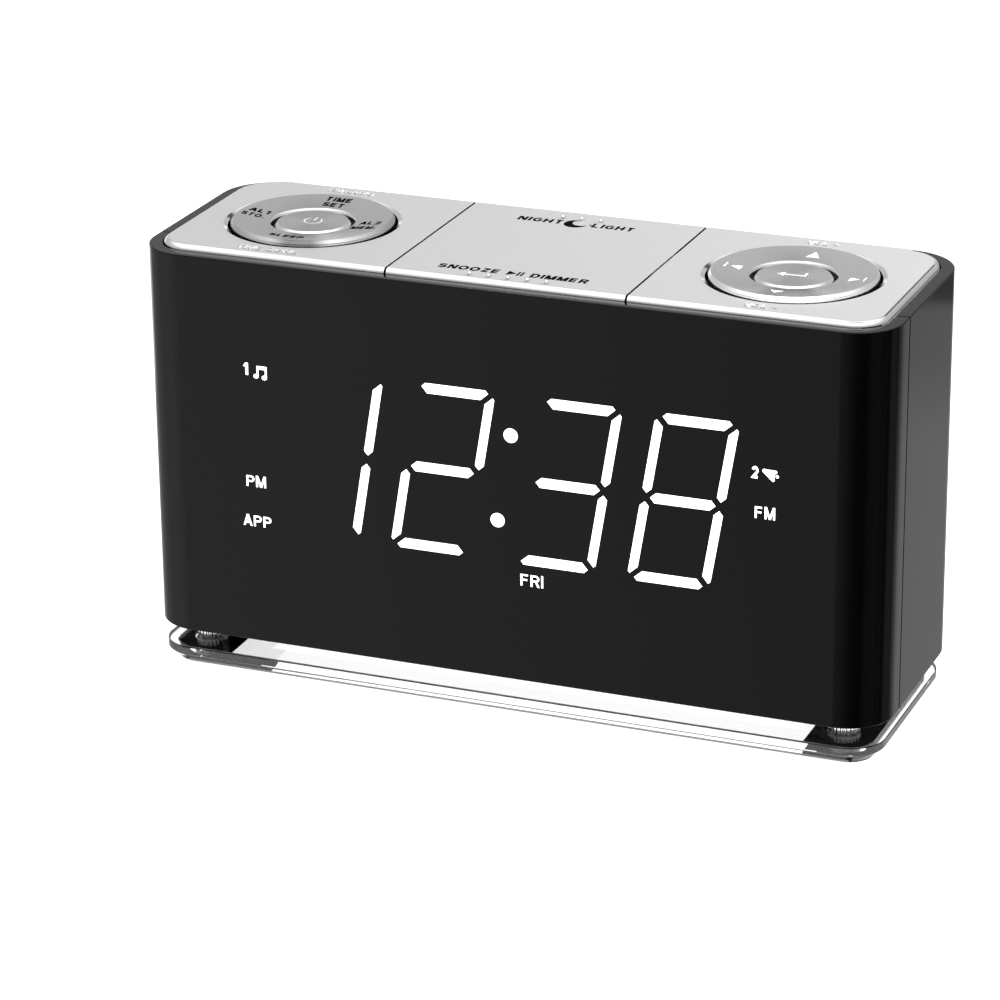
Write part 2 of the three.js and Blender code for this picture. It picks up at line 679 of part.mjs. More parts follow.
function mainBoard() {
  const front = MAIN_BOARD_FRONT;
  const back = front + 1.6;
  const board = block(-78, 78, front, back, 28, 92);
  const chips = [
    block(-30, -16, back - 0.5, back + 2, 60, 74),
    block(8, 17, back - 0.5, back + 2, 66, 75),
    block(30, 44, back - 0.5, back + 6, 34, 46),
    block(-70, -54, back - 0.5, back + 4, 34, 42),
  ];
  const capacitors = [
    { x: 52, z: 78 },
    { x: 60, z: 78 },
    { x: 68, z: 56 },
    { x: -8, z: 40 },
  ].map(({ x, z }) => backRod(x, z, 3.1, back - 0.5, back + 8));
  return named("main_board", FINISHES.board, join(board, ...chips, ...capacitors));
}

// A flat ribbon cable from the key board down behind the display to the main board.
function ribbonCable() {
  const thickness = 0.7;
  const [x0, x1] = [CABLE.x - CABLE.halfWidth, CABLE.x + CABLE.halfWidth];
  const [y0, top, low] = [CABLE.y - thickness / 2, KEY_BOARD_TOP + GAP + thickness, 78];
  const strip = block(x0, x1, y0, y0 + thickness, low, top);
  const upper = block(x0, x1, y0, y0 + 8, top - thickness, top);
  const lower = block(x0, x1, y0, MAIN_BOARD_FRONT - GAP, low, low + thickness);
  return named("ribbon_cable", FINISHES.naturalPlastic, join(strip, upper, lower));
}

function socketBoard() {
  return named("socket_board", FINISHES.board, block(42, 86, 10, 30, 24.4, 26));
}

// A flat charging socket with its contact tongue, mouth at the back of the cabinet.
function usbSocket() {
  const [halfWidth, halfHeight] = [USB.width / 2, USB.height / 2];
  const mouth = BODY_DEPTH / 2 - 0.6;
  const can = block(USB.x - halfWidth, USB.x + halfWidth, mouth - 14, mouth, USB.z - halfHeight, USB.z + halfHeight);
  const inside = block(
    USB.x - halfWidth + 0.5, USB.x + halfWidth - 0.5, mouth - 12, mouth + 1,
    USB.z - halfHeight + 0.5, USB.z + halfHeight - 0.5,
  );
  const tongue = block(USB.x - 5.6, USB.x + 5.6, mouth - 12.5, mouth - 2, USB.z + 0.1, USB.z + 1.8);
  return named("usb_socket", FINISHES.steel, join(cut(can, inside), tongue));
}

// A barrel power socket with its centre pin.
function powerSocket() {
  const mouth = BODY_DEPTH / 2 - 0.4;
  const shoulder = BACK_INNER - GAP;
  const housing = block(POWER.x - 4.5, POWER.x + 4.5, shoulder - 11, shoulder, POWER.z - 6.5, POWER.z + 4.5);
  const nose = backRod(POWER.x, POWER.z, POWER.nose, shoulder - 1, mouth, MEDIUM);
  const hole = backRod(POWER.x, POWER.z, 3.15, mouth - 10, mouth + 1, MEDIUM);
  const pin = backRod(POWER.x, POWER.z, 1, mouth - 10.5, mouth - 1.2);
  return named("power_socket", FINISHES.mattBlack, join(cut(join(housing, nose), hole), pin));
}

// The grommet where the aerial wire leaves the back.
function aerialGland() {
  const profile = closed([
    [0.9, -2.2],
    [4.2, -2.2],
    [4.2, -GAP],
    [GLAND.radius, -GAP],
    [GLAND.radius, 2.3],
    [0.9, 2.3],
  ]);
  const grommet = turned(profile, MEDIUM).rotateX(-Math.PI / 2).translate(GLAND.x, BACK_INNER, GLAND.z);
  return named("aerial_gland", FINISHES.rubber, grommet);
}

function electronics() {
  const group = new THREE.Group();
  group.add(mainBoard(), ribbonCable(), socketBoard(), usbSocket(), powerSocket(), aerialGland());
  return group;
}

// ---------------------------------------------------------------- loudspeaker and backup battery

function loudspeaker() {
  const face = BACK_INNER - GAP;
  const place = (profile) => turnedInwards(profile, MEDIUM, SPEAKER.x, face, SPEAKER.z);
  const basket = place(
    closed([
      [21.6, 0],
      [21.6, 2.2],
      [13.4, 12],
      [7.4, 12],
      [7.4, 13.2],
      [14, 13.2],
      [23.2, 1.9],
      [SPEAKER.flange, 1.9],
      [SPEAKER.flange, 0],
    ]),
  );
  const cone = place([
    [0, 8.2],
    [5.8, 9.9],
    [5.8, 10.6],
    [6.6, 10.6],
    [20.9, 2.2],
    [20.9, 1.4],
    [20.3, 1.4],
    [6, 9],
    [3.5, 7.9],
    [0, 7.4],
  ]);
  const magnet = place([
    [0, 21.5],
    [16, 21.5],
    [16, 13.5],
    [5, 13.5],
    [5, 11.4],
    [0, 11.4],
  ]);
  const group = new THREE.Group();
  group.add(named("speaker_basket", FINISHES.steel, basket));
  group.add(named("speaker_cone", FINISHES.paper, cone));
  group.add(named("speaker_magnet", FINISHES.magnet, magnet));
  return group;
}

// A coin cell in a round cup, under a cover that turns on two lugs behind the back wall.
function backupBattery() {
  const face = BACK_INNER - GAP;
  const cupProfile = [
    [0, 7.2],
    [16.5, 7.2],
    [16.5, 0],
    [14.8, 0],
    [14.8, 2],
    [10.4, 2],
    [10.4, 5.8],
    [0, 5.8],
  ];
  const cup = turnedInwards(cupProfile, MEDIUM, BATTERY.x, face, BATTERY.z);
  const cell = backRod(BATTERY.x, BATTERY.z, 10, face - 5.5, face - 2.3, MEDIUM);
  const outerFace = BODY_DEPTH / 2 - 0.2;
  const disc = backRod(BATTERY.x, BATTERY.z, BATTERY.hole - GAP, BACK_INNER + 0.4, outerFace, LARGE);
  const hub = backRod(BATTERY.x, BATTERY.z, 11.5, face - 1.5, BACK_INNER + 1, MEDIUM);
  const lugs = block(BATTERY.x - 14.2, BATTERY.x + 14.2, face - 1.5, face - 0.3, BATTERY.z - 2, BATTERY.z + 2);
  const coinSlot = block(BATTERY.x - 6, BATTERY.x + 6, outerFace - 1, outerFace + 1, BATTERY.z - 0.8, BATTERY.z + 0.8);
  const group = new THREE.Group();
  group.add(named("battery_cup", FINISHES.mattBlack, cup));
  group.add(named("coin_cell", FINISHES.steel, cell));
  group.add(named("battery_cover", FINISHES.mattBlack, cut(join(disc, hub, lugs), coinSlot)));
  return group;
}

// ---------------------------------------------------------------- night light

function nightLight() {
  const { x, y0, y1 } = LIGHT_SLOT;
  const [low, high] = [BODY_BOTTOM + 0.2, BODY_BOTTOM + WALL + GAP];
  const window = block(-x + GAP, x - GAP, y0 + GAP, y1 - GAP, low, high + 0.5);
  const flange = block(-x - 2, x + 2, y0 - 2, y1 + 2, high, high + 1.2);
  const board = block(-x + 2, x - 2, y0 + 1, y1 - 1, high + 4, high + 5.6);
  const lamps = [-2, -1, 0, 1, 2].map((place) => {
    const middle = place * 28;
    const middleY = (y0 + y1) / 2;
    return block(middle - 2, middle + 2, middleY - 2, middleY + 2, high + 2.6, high + 4.5);
  });
  const group = new THREE.Group();
  group.add(named("night_light_diffuser", FINISHES.whitePlastic, join(window, flange)));
  group.add(named("night_light_board", FINISHES.whitePlastic, join(board, ...lamps)));
  return group;
}

// ---------------------------------------------------------------- base

const COUNTERBORE_RADIUS = 4.6;
const COUNTERBORE_TOP = 3.3;
const POCKET_TOP = PAD_THICKNESS + GAP;

function baseOutline(inset) {
  const half = BASE_WIDTH / 2 - inset;
  return roundedRectangle(-half, half, BASE_FRONT + inset, BASE_BACK - inset, BASE_RADIUS - inset);
}

// The part of the plinth's outline at one end that the rubber pad covers.
function padPrism(sign, inset, z0, z1) {
  const inner = PAD_INNER_X + inset - PAD_INSET;
  const end = sign < 0 ? block(-HUGE, -inner, -HUGE, HUGE, -1, 9) : block(inner, HUGE, -HUGE, HUGE, -1, 9);
  return common(prism(baseOutline(PLINTH_INSET + inset), z0, z1, HIDDEN_STEPS), end);
}

// A clear plate with a narrower plinth under it, pockets for the pads and bores for the post screws.
function basePlate() {
  const flange = prism(baseOutline(0), FLANGE_BOTTOM, BASE_TOP);
  const plinth = prism(baseOutline(PLINTH_INSET), PLINTH_BOTTOM, FLANGE_BOTTOM + 0.5, HIDDEN_STEPS);
  const pockets = SIDES.map(({ sign }) => padPrism(sign, PAD_INSET, PLINTH_BOTTOM - 1, POCKET_TOP));
  const bores = POSTS.flatMap(({ x, y }) => [
    rod(x, y, SCREW_BORE, 0, BASE_TOP + 1),
    rod(x, y, COUNTERBORE_RADIUS, 0, COUNTERBORE_TOP, MEDIUM),
  ]);
  return named("base_plate", FINISHES.clear, cut(join(flange, plinth), ...pockets, ...bores));
}

function post({ name, x, y }) {
  const [low, high] = [BASE_TOP + GAP, BODY_BOTTOM - GAP];
  const chamfer = 0.4;
  const profile = closed([
    [SCREW_BORE, low],
    [POST_RADIUS - chamfer, low],
    [POST_RADIUS, low + chamfer],
    [POST_RADIUS, high - chamfer],
    [POST_RADIUS - chamfer, high],
    [SCREW_BORE, high],
  ]);
  return named(`post_${name}`, FINISHES.chrome, turned(profile, MEDIUM).translate(x, y, 0));
}

// The screw that comes up through the base plate and a post into the cabinet.
function postScrew({ name, x, y }) {
  const headTop = COUNTERBORE_TOP - GAP;
  const head = rod(x, y, COUNTERBORE_RADIUS - 0.4, POCKET_TOP + 0.1, headTop, MEDIUM);
  const shank = rod(x, y, 1.5, headTop - 0.5, BODY_BOTTOM + WALL + POST_BOSS_HEIGHT - 1);
  const recess = block(x - 2.4, x + 2.4, y - 0.45, y + 0.45, POCKET_TOP - 1, POCKET_TOP + 0.8);
  return named(`post_screw_${name}`, FINISHES.steel, cut(join(head, shank), recess));
}

function base() {
  const group = new THREE.Group();
  group.add(basePlate());
  SIDES.forEach(({ name, sign }) => {
    const pad = padPrism(sign, PAD_INSET + GAP, 0, PAD_THICKNESS);
    group.add(named(`foot_pad_${name}`, FINISHES.rubber, pad));
  });
  POSTS.forEach((place) => group.add(post(place), postScrew(place)));
  return group;
}

// ---------------------------------------------------------------- assembly

const clockRadio = new THREE.Group();
clockRadio.add(cabinet(), topDeck(), display(), electronics());
clockRadio.add(loudspeaker(), backupBattery(), nightLight(), base());

export default clockRadio;
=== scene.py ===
"""The looks of a bedside clock radio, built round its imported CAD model.

Shapes are worked out in millimetres in the CAD's frame (X to the right, -Y the front, Z up, the table at 0)
and become metres when a mesh is made.
"""
import json
import math
from contextlib import contextmanager

import bmesh
import bpy
from mathutils import Matrix, Vector


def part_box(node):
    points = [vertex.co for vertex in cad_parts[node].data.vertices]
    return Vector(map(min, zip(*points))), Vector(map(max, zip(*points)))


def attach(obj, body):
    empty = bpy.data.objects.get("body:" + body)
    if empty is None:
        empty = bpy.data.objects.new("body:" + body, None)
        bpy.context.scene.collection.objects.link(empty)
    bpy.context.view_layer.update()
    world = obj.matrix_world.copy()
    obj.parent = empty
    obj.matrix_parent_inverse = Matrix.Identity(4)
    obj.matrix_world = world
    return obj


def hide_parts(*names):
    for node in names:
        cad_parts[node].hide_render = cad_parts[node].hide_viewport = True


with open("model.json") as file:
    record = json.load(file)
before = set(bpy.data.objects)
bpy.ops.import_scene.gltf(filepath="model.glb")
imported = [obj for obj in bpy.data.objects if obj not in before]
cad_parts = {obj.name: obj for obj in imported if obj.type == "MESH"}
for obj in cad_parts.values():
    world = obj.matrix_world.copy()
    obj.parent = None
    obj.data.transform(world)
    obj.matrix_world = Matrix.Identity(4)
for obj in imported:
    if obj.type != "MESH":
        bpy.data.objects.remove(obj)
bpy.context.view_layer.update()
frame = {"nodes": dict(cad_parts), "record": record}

MM = 0.001

# ---------------------------------------------------------------- dimensions shared with the CAD model


def node_box(node):
    """The lowest and highest corners of a CAD node, in millimetres."""
    low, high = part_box(node)
    return low / MM, high / MM


front_low, front_high = node_box("front_shell")
rear_low, rear_high = node_box("rear_shell")
bar_low, bar_high = node_box("snooze_bar")
base_low, base_high = node_box("base_plate")
pad_low, pad_high = node_box("foot_pad_right")
light_bottom, light_top = (corner.z for corner in node_box("night_light_diffuser"))

GAP = 0.3
SKIN = 0.03  # the lit windows and the printing stand this far out of the cabinet
HALF_WIDTH = front_high.x
HALF_DEPTH = rear_high.y
BODY_BOTTOM = front_low.z
BODY_TOP = front_high.z
PLATE_TOP = bar_high.z
FRONT_RADIUS = 12.5
BACK_RADIUS = 14.5
WALL = 2.5
RIM_WIDTH = 3.5
RIM_DEPTH = 4
SEAM_Y = (front_high.y + rear_low.y) / 2
LEDGE_TOP = BODY_TOP - 15.4
LEDGE_HEIGHT = 2.3
LEDGE_WIDTH = 2.5
PLATE_INSET = 3.8
PLATE_SKIRT = 1.5
SLAB_BOTTOM = PLATE_TOP - 2
SKIRT_BOTTOM = SLAB_BOTTOM - 3.2
BAR_EDGE = 31.6
PLATE_EDGE = 32.2
DIAL_X = 65
WELL_RADIUS = 22
LIP_WIDTH, LIP_DEPTH = 1.0, 0.55  # the bright sloping lip of each well
RING_OUTER = 21.2
RING_INNER = 10.7
CENTRE_RADIUS = 9.9
PIVOT_Y = -2
POST_X = 87.3
POST_Y = (-22, 19)
POST_RADIUS = 4.2
DISPLAY_Z = BODY_BOTTOM + 54.45
SCREW_BORE = 1.9
BOSS_RADIUS = 3.6
SPEAKER = (-45, 62)  # places on the back are in X and Z
SPEAKER_REACH = 21
SLOT_PITCH = 4.2
BATTERY = (62, 68)
USB_SOCKET = (54, 29.15)
POWER_SOCKET = (74, 32.8)
AERIAL = (-66, 24)
CASE_SCREWS = [(side * 80, z) for side in (-1, 1) for z in (20.5, 90)]
CENTRES = {"left": -DIAL_X, "right": DIAL_X}
FAR = 2 * HALF_WIDTH  # beyond every edge of the object

# ---------------------------------------------------------------- meshes


def link(obj):
    bpy.context.scene.collection.objects.link(obj)
    return obj


@contextmanager
def editing(mesh):
    """Opens a mesh for changes, and writes them back at the end."""
    work = bmesh.new()
    work.from_mesh(mesh)
    yield work
    work.to_mesh(mesh)
    work.free()


def face_outwards(mesh):
    with editing(mesh) as work:
        bmesh.ops.recalc_face_normals(work, faces=work.faces)


def mesh_object(name, points, faces):
    """A mesh object from points in millimetres, with its faces turned outwards."""
    mesh = bpy.data.meshes.new(name)
    mesh.from_pydata([Vector(p) * MM for p in points], [], faces)
    face_outwards(mesh)
    return link(bpy.data.objects.new(name, mesh))


def rounded_outline(x0, x1, y0, y1, front_radius, back_radius, steps=20):
    """The points of a rectangle with round corners, anticlockwise seen from above."""
    corners = [
        (x1 - front_radius, y0 + front_radius, front_radius, -90),
        (x1 - back_radius, y1 - back_radius, back_radius, 0),
        (x0 + back_radius, y1 - back_radius, back_radius, 90),
        (x0 + front_radius, y0 + front_radius, front_radius, 180),
    ]
    points = []
    for cx, cy, radius, start in corners:
        for step in range(steps + 1):
            angle = math.radians(start + 90 * step / steps)
            points.append((cx + radius * math.cos(angle), cy + radius * math.sin(angle)))
    return points


def cabinet_outline(inset):
    x, y = HALF_WIDTH - inset, HALF_DEPTH - inset
    return rounded_outline(-x, x, -y, y, FRONT_RADIUS - inset, BACK_RADIUS - inset)


def loft(name, loops, wrap=False):
    """A skin over loops of equal length. Without wrap, the first and last loop are closed by a face."""
    count = len(loops[0])
    points = [p for loop in loops for p in loop]
    faces = []
    for k in range(len(loops) if wrap else len(loops) - 1):
        below, above = k * count, (k + 1) % len(loops) * count
        for i in range(count):
            j = (i + 1) % count
            faces.append([below + i, below + j, above + j, above + i])
    if not wrap:
        faces.append(list(reversed(range(count))))
        faces.append([len(points) - count + i for i in range(count)])
    return mesh_object(name, points, faces)


def prism(outline, z0, z1):
    return loft("prism", [[(x, y, z) for x, y in outline] for z in (z0, z1)])


def block(x0, x1, y0, y1, z0, z1):
    return prism([(x0, y0), (x1, y0), (x1, y1), (x0, y1)], z0, z1)


def turned(name, profile, segments=96, closed=False):
    """A piece turned about Z from a list of (radius, height). A closed profile makes a ring."""
    points, rings = [], []
    for radius, height in profile:
        if radius == 0:
            rings.append([len(points)])
            points.append((0, 0, height))
            continue
        rings.append(list(range(len(points), len(points) + segments)))
        for i in range(segments):
            angle = 2 * math.pi * i / segments
            points.append((radius * math.cos(angle), radius * math.sin(angle), height))
    faces = []
    pairs = list(zip(rings, rings[1:] + rings[:1])) if closed else list(zip(rings, rings[1:]))
    for lower, upper in pairs:
        for i in range(segments):
            j = (i + 1) % segments
            corners = [(lower, i), (lower, j), (upper, j), (upper, i)]
            face = list(dict.fromkeys(ring[k % len(ring)] for ring, k in corners))
            if len(face) > 2:
                faces.append(face)
    return mesh_object(name, points, faces)


def moved(obj, x=0, y=0, z=0, turn=None):
    """Turns a mesh about the origin, then shifts it by millimetres."""
    if turn is not None:
        obj.data.transform(turn)
    obj.data.transform(Matrix.Translation(Vector((x, y, z)) * MM))
    return obj


def rod(x, y, radius, z0, z1, segments=48):
    return moved(turned("rod", [(0, z0), (radius, z0), (radius, z1), (0, z1)], segments), x, y)


FACE_BACK = Matrix.Rotation(math.radians(-90), 4, "X")  # turns +Z to +Y, towards the back


def back_rod(x, z, radius, y0, y1, segments=48):
    profile = [(0, y0), (radius, y0), (radius, y1), (0, y1)]
    return moved(turned("rod", profile, segments), x, 0, z, FACE_BACK)


def merged(target, *others):
    """Puts the other meshes into the target's as they are."""
    with editing(target.data) as work:
        for other in others:
            work.from_mesh(other.data)
            bpy.data.objects.remove(other)
    return target


def applied(obj):
    """Replaces a mesh by what its modifiers make of it."""
    graph = bpy.context.evaluated_depsgraph_get()
    made = bpy.data.meshes.new_from_object(obj.evaluated_get(graph))
    obj.modifiers.clear()
    obj.data = made
    return obj


def boolean(target, tools, operation="DIFFERENCE"):
    """Cuts the tools from the target, or joins or intersects them with it."""
    for tool in tools:
        modifier = target.modifiers.new("boolean", "BOOLEAN")
        modifier.operation = operation
        modifier.object = tool
        modifier.solver = "EXACT"
    applied(target)
    for tool in tools:
        bpy.data.objects.remove(tool)
    return target


def sum_of(edge):
    return edge.verts[0].co + edge.verts[1].co


SHARP = math.radians(30)


def rounded(obj, chosen, width, segments=3, profile=0.5):
    """Rounds, by width in millimetres, the sharp edges whose ends and middle are all chosen.

    A low profile is flatter.
    """
    with editing(obj.data) as work:
        bmesh.ops.remove_doubles(work, verts=work.verts, dist=0.004 * MM)
        bmesh.ops.dissolve_limit(work, angle_limit=math.radians(0.5), verts=work.verts, edges=work.edges)
        edges = [
            edge for edge in work.edges
            if len(edge.link_faces) == 2
            and edge.calc_face_angle(0) > SHARP
            and all(chosen(p / MM) for p in (edge.verts[0].co, edge.verts[1].co, sum_of(edge) / 2))
        ]
        bmesh.ops.bevel(
            work, geom=edges, offset=width * MM, segments=segments, profile=profile, affect="EDGES",
            clamp_overlap=False,
        )
    return obj


def shaded(obj, angle=32):
    """Smooth shading that keeps flat faces flat and true edges sharp."""
    for polygon in obj.data.polygons:
        polygon.use_smooth = True
    obj.data.set_sharp_from_angle(angle=math.radians(angle))
    modifier = obj.modifiers.new("normals", "WEIGHTED_NORMAL")
    modifier.keep_sharp = True
    modifier.weight = 100
    return applied(obj)


def finished(obj, material, chosen):
    """Gives the faces that are chosen, by middle in millimetres and normal, another finish."""
    obj.data.materials.append(material)
    index = len(obj.data.materials) - 1
    for polygon in obj.data.polygons:
        if chosen(polygon.center / MM, polygon.normal):
            polygon.material_index = index


def near(value, target, reach=0.02):
    return abs(value - target) < reach


def piece(obj, name, material, body, slot, *nodes):
    """Names a piece, gives it its look, ties it to its body and hides the nodes it stands for. The slot is not
    used.
    """
    obj.name = obj.data.name = name
    obj.data.materials.clear()
    obj.data.materials.append(material)
    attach(obj, body)
    if nodes:
        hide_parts(*nodes)
    return obj


# ---------------------------------------------------------------- materials


class Graph:
    """A node tree under construction, and short ways to add to it."""

    def __init__(self, owner):
        owner.use_nodes = True
        self.nodes = owner.node_tree.nodes
        self.links = owner.node_tree.links

    def spread(self, source, low, high, start=0.3, end=0.7, kind="LINEAR"):
        """Maps start..end of a source to low..high."""
        node = self.nodes.new("ShaderNodeMapRange")
        node.interpolation_type = kind
        for socket, value in (("From Min", start), ("From Max", end), ("To Min", low), ("To Max", high)):
            node.inputs[socket].default_value = value
        self.links.new(source, node.inputs["Value"])
        return node.outputs["Result"]

    def maths(self, operation, first, second=0.0):
        node = self.nodes.new("ShaderNodeMath")
        node.operation = operation
        for socket, value in zip(node.inputs, (first, second)):
            if isinstance(value, (int, float)):
                socket.default_value = value
            else:
                self.links.new(value, socket)
        return node.outputs["Value"]

    def parts(self, vector):
        """The three parts of a vector."""
        node = self.nodes.new("ShaderNodeSeparateXYZ")
        self.links.new(vector, node.inputs["Vector"])
        return [node.outputs[axis] for axis in "XYZ"]


class Look(Graph):
    """A material under construction."""

    def __init__(self, name, **plain):
        self.material = bpy.data.materials.new(name)
        super().__init__(self.material)
        self.shader = self.nodes["Principled BSDF"]
        for socket, value in plain.items():
            self.shader.inputs[socket.replace("_", " ")].default_value = value
        self.coordinates = self.nodes.new("ShaderNodeTexCoord").outputs["Object"]

    def noise(self, scale, detail=3.0, roughness=0.5, vector=None, distortion=0.0):
        """Noise with scale features to a millimetre."""
        node = self.nodes.new("ShaderNodeTexNoise")
        node.inputs["Scale"].default_value = scale / MM
        node.inputs["Detail"].default_value = detail
        node.inputs["Roughness"].default_value = roughness
        node.inputs["Distortion"].default_value = distortion
        self.links.new(vector or self.coordinates, node.inputs["Vector"])
        return node.outputs["Fac"]

    def vector(self, operation, first, second=None):
        """Vector arithmetic between a source and a fixed vector."""
        node = self.nodes.new("ShaderNodeVectorMath")
        node.operation = operation
        self.links.new(first, node.inputs[0])
        if second is not None:
            node.inputs[1].default_value = second
        return node.outputs["Value" if operation == "LENGTH" else "Vector"]

    def colour(self, source, dark, light):
        node = self.nodes.new("ShaderNodeMix")
        node.data_type = "RGBA"
        node.inputs["A"].default_value = (*dark, 1)
        node.inputs["B"].default_value = (*light, 1)
        self.links.new(source, node.inputs["Factor"])
        return node.outputs["Result"]

    def bump(self, height, strength, distance):
        """Bumps of up to distance millimetres."""
        node = self.nodes.new("ShaderNodeBump")
        node.inputs["Strength"].default_value = strength
        node.inputs["Distance"].default_value = distance * MM
        self.links.new(height, node.inputs["Height"])
        self.links.new(node.outputs["Normal"], self.shader.inputs["Normal"])

    def set(self, socket, source):
        self.links.new(source, self.shader.inputs[socket])


def moulded(name, colour, roughness, grain=2.0, vary=0.08, depth=0.01, strength=0.3, **plain):
    """A moulding: fine grain in its surface, with slight changes of shade and gloss."""
    look = Look(name, **plain)
    shade = look.noise(0.08, 4.0, 0.6)
    fine = look.noise(grain, 2.0)
    dark = [c * (1 - vary) for c in colour]
    light = [min(1.0, c * (1 + vary)) for c in colour]
    look.set("Base Color", look.colour(look.spread(shade, 0, 1), dark, light))
    look.set("Roughness", look.spread(fine, roughness * 0.9, roughness * 1.12))
    look.bump(fine, strength, depth)
    return look.material


def gloss_black(name, roughness):
    """Polished black plastic with faint flow marks and hairline polishing swirls."""
    look = Look(name, IOR=1.3)
    cloud = look.noise(0.02, 3.0, 0.55)
    hair = look.noise(0.6, 5.0, 0.7, distortion=1.2)
    darkest, lightest = (0.0001,) * 3, (0.0003,) * 3
    look.set("Base Color", look.colour(look.spread(cloud, 0, 1), darkest, lightest))
    smooth = look.spread(cloud, roughness * 0.85, roughness * 1.2)
    look.set("Roughness", look.maths("ADD", smooth, look.spread(hair, 0.0, 0.012, 0.55, 0.75)))
    look.bump(look.noise(0.05, 1.0), 0.05, 0.02)
    return look.material


def silver_paint(name):
    """Silver paint: fine metal flakes that sparkle a little, on a softly uneven coat."""
    look = Look(name, Metallic=0.75)
    flakes = look.nodes.new("ShaderNodeTexVoronoi")
    flakes.inputs["Scale"].default_value = 9 / MM
    look.links.new(look.coordinates, flakes.inputs["Vector"])
    flake = look.nodes.new("ShaderNodeSeparateColor")
    look.links.new(flakes.outputs["Color"], flake.inputs["Color"])
    cloud = look.noise(0.03, 3.0)
    sparkle, unevenness = look.maths("MULTIPLY", flake.outputs["Red"], 0.7), look.maths("MULTIPLY", cloud, 0.3)
    mixed = look.maths("ADD", sparkle, unevenness)
    look.set("Base Color", look.colour(mixed, (0.60, 0.60, 0.605), (0.69, 0.69, 0.695)))
    look.set("Roughness", look.spread(flake.outputs["Green"], 0.33, 0.42, 0, 1))
    look.bump(flake.outputs["Blue"], 0.12, 0.004)
    return look.material


GROOVE_PITCH = 0.28
# The darker fan of the dials is painted shade, darkened into the spun metal's colour.
SHADE_FAN_TURN = 0.25  # radians from straight in front to the middle of a dial's darker fan, towards the right


def spun_metal(name, centre_x, colour, roughness, shade_fan_reach):
    """Metal turned on a lathe: concentric lines round the dial's middle, and a darker fan towards the front that is
    painted shade.
    """
    look = Look(name, Metallic=1.0, Anisotropic=0.82)
    place = look.vector("SUBTRACT", look.coordinates, (centre_x * MM, 0, 0))
    flat = look.vector("MULTIPLY", place, (1, 1, 0))
    reach = look.vector("LENGTH", flat)
    radius = look.maths("MULTIPLY", reach, 1 / MM)
    along = look.nodes.new("ShaderNodeCombineXYZ")
    look.links.new(reach, along.inputs["X"])
    grooves = look.maths("SINE", look.maths("MULTIPLY", radius, 2 * math.pi / GROOVE_PITCH))
    uneven = look.noise(4.0, 3.0, 0.7, vector=along.outputs["Vector"])
    lines = look.maths("ADD", look.spread(grooves, 0, 0.45, -1, 1), look.maths("MULTIPLY", uneven, 0.55))
    x, y, _ = look.parts(flat)
    turn = look.maths("ARCTAN2", x, look.maths("MULTIPLY", y, -1))
    off_fan = look.maths("ABSOLUTE", look.maths("SUBTRACT", turn, SHADE_FAN_TURN))
    # painted shade: the ring's colour darkens in a fan towards the front
    fan = look.spread(off_fan, 0.3, 1, shade_fan_reach, shade_fan_reach + 0.3, "SMOOTHSTEP")
    on_ring_only = look.spread(radius, 1, 0, CENTRE_RADIUS + 0.2, CENTRE_RADIUS + 0.5)
    fan = look.maths("MAXIMUM", fan, on_ring_only)
    shade = look.maths("MULTIPLY", look.spread(lines, 0.86, 1), fan)
    look.set("Base Color", look.colour(shade, (0, 0, 0), colour))
    look.set("Roughness", look.spread(uneven, roughness * 0.85, roughness * 1.15))
    look.bump(lines, 0.45, 0.006)
    tangent = look.nodes.new("ShaderNodeTangent")
    tangent.direction_type = "RADIAL"
    tangent.axis = "Z"
    look.links.new(tangent.outputs["Tangent"], look.shader.inputs["Tangent"])
    return look.material


def bright_metal(name, colour, roughness, grain=0.4):
    """Plated or drawn metal with faint handling marks."""
    look = Look(name, Metallic=1.0)
    marks = look.noise(grain, 5.0, 0.65, distortion=0.6)
    look.set("Base Color", look.colour(look.spread(marks, 0, 1), [c * 0.93 for c in colour], colour))
    look.set("Roughness", look.spread(marks, roughness * 0.8, roughness * 1.3))
    look.bump(marks, 0.04, 0.01)
    return look.material


def clear_acrylic(name, shade=1.0, roughness=0.0, clarity=1.0):
    """Clear plastic; a low shade greys it, and a lower clarity a faint milky haze. On the clear base the grey is
    painted shade, on its top face and in dark lines along its edges; along its foot it is partly a sawn edge.
    """
    look = Look(name, Transmission_Weight=clarity, IOR=1.49, Roughness=roughness)
    haze = look.noise(0.05, 2.0)
    clear = [c * shade for c in (0.985, 0.99, 0.99)]
    look.set("Base Color", look.colour(look.spread(haze, 0, 1), clear, (shade, shade, shade)))
    return look.material


def lamp(name, colour, strength):
    """A lit light guide: white, and very slightly brighter in places."""
    look = Look(name, Emission_Color=(*colour, 1), Emission_Strength=strength, Roughness=0.4)
    soft = look.noise(0.3, 2.0)
    look.set("Base Color", look.colour(look.spread(soft, 0, 1), (0.88, 0.89, 0.9), (0.93, 0.94, 0.95)))
    return look.material


def circuit_board(name):
    """Green solder mask over copper tracks."""
    look = Look(name, IOR=1.5)
    tracks = look.nodes.new("ShaderNodeTexBrick")
    tracks.inputs["Scale"].default_value = 0.25 / MM
    tracks.inputs["Mortar Size"].default_value = 0.03
    look.links.new(look.coordinates, tracks.inputs["Vector"])
    look.set("Base Color", look.colour(tracks.outputs["Fac"], (0.01, 0.10, 0.035), (0.03, 0.19, 0.07)))
    look.set("Roughness", look.spread(look.noise(0.5), 0.3, 0.42))
    look.bump(tracks.outputs["Fac"], 0.3, 0.03)
    return look.material


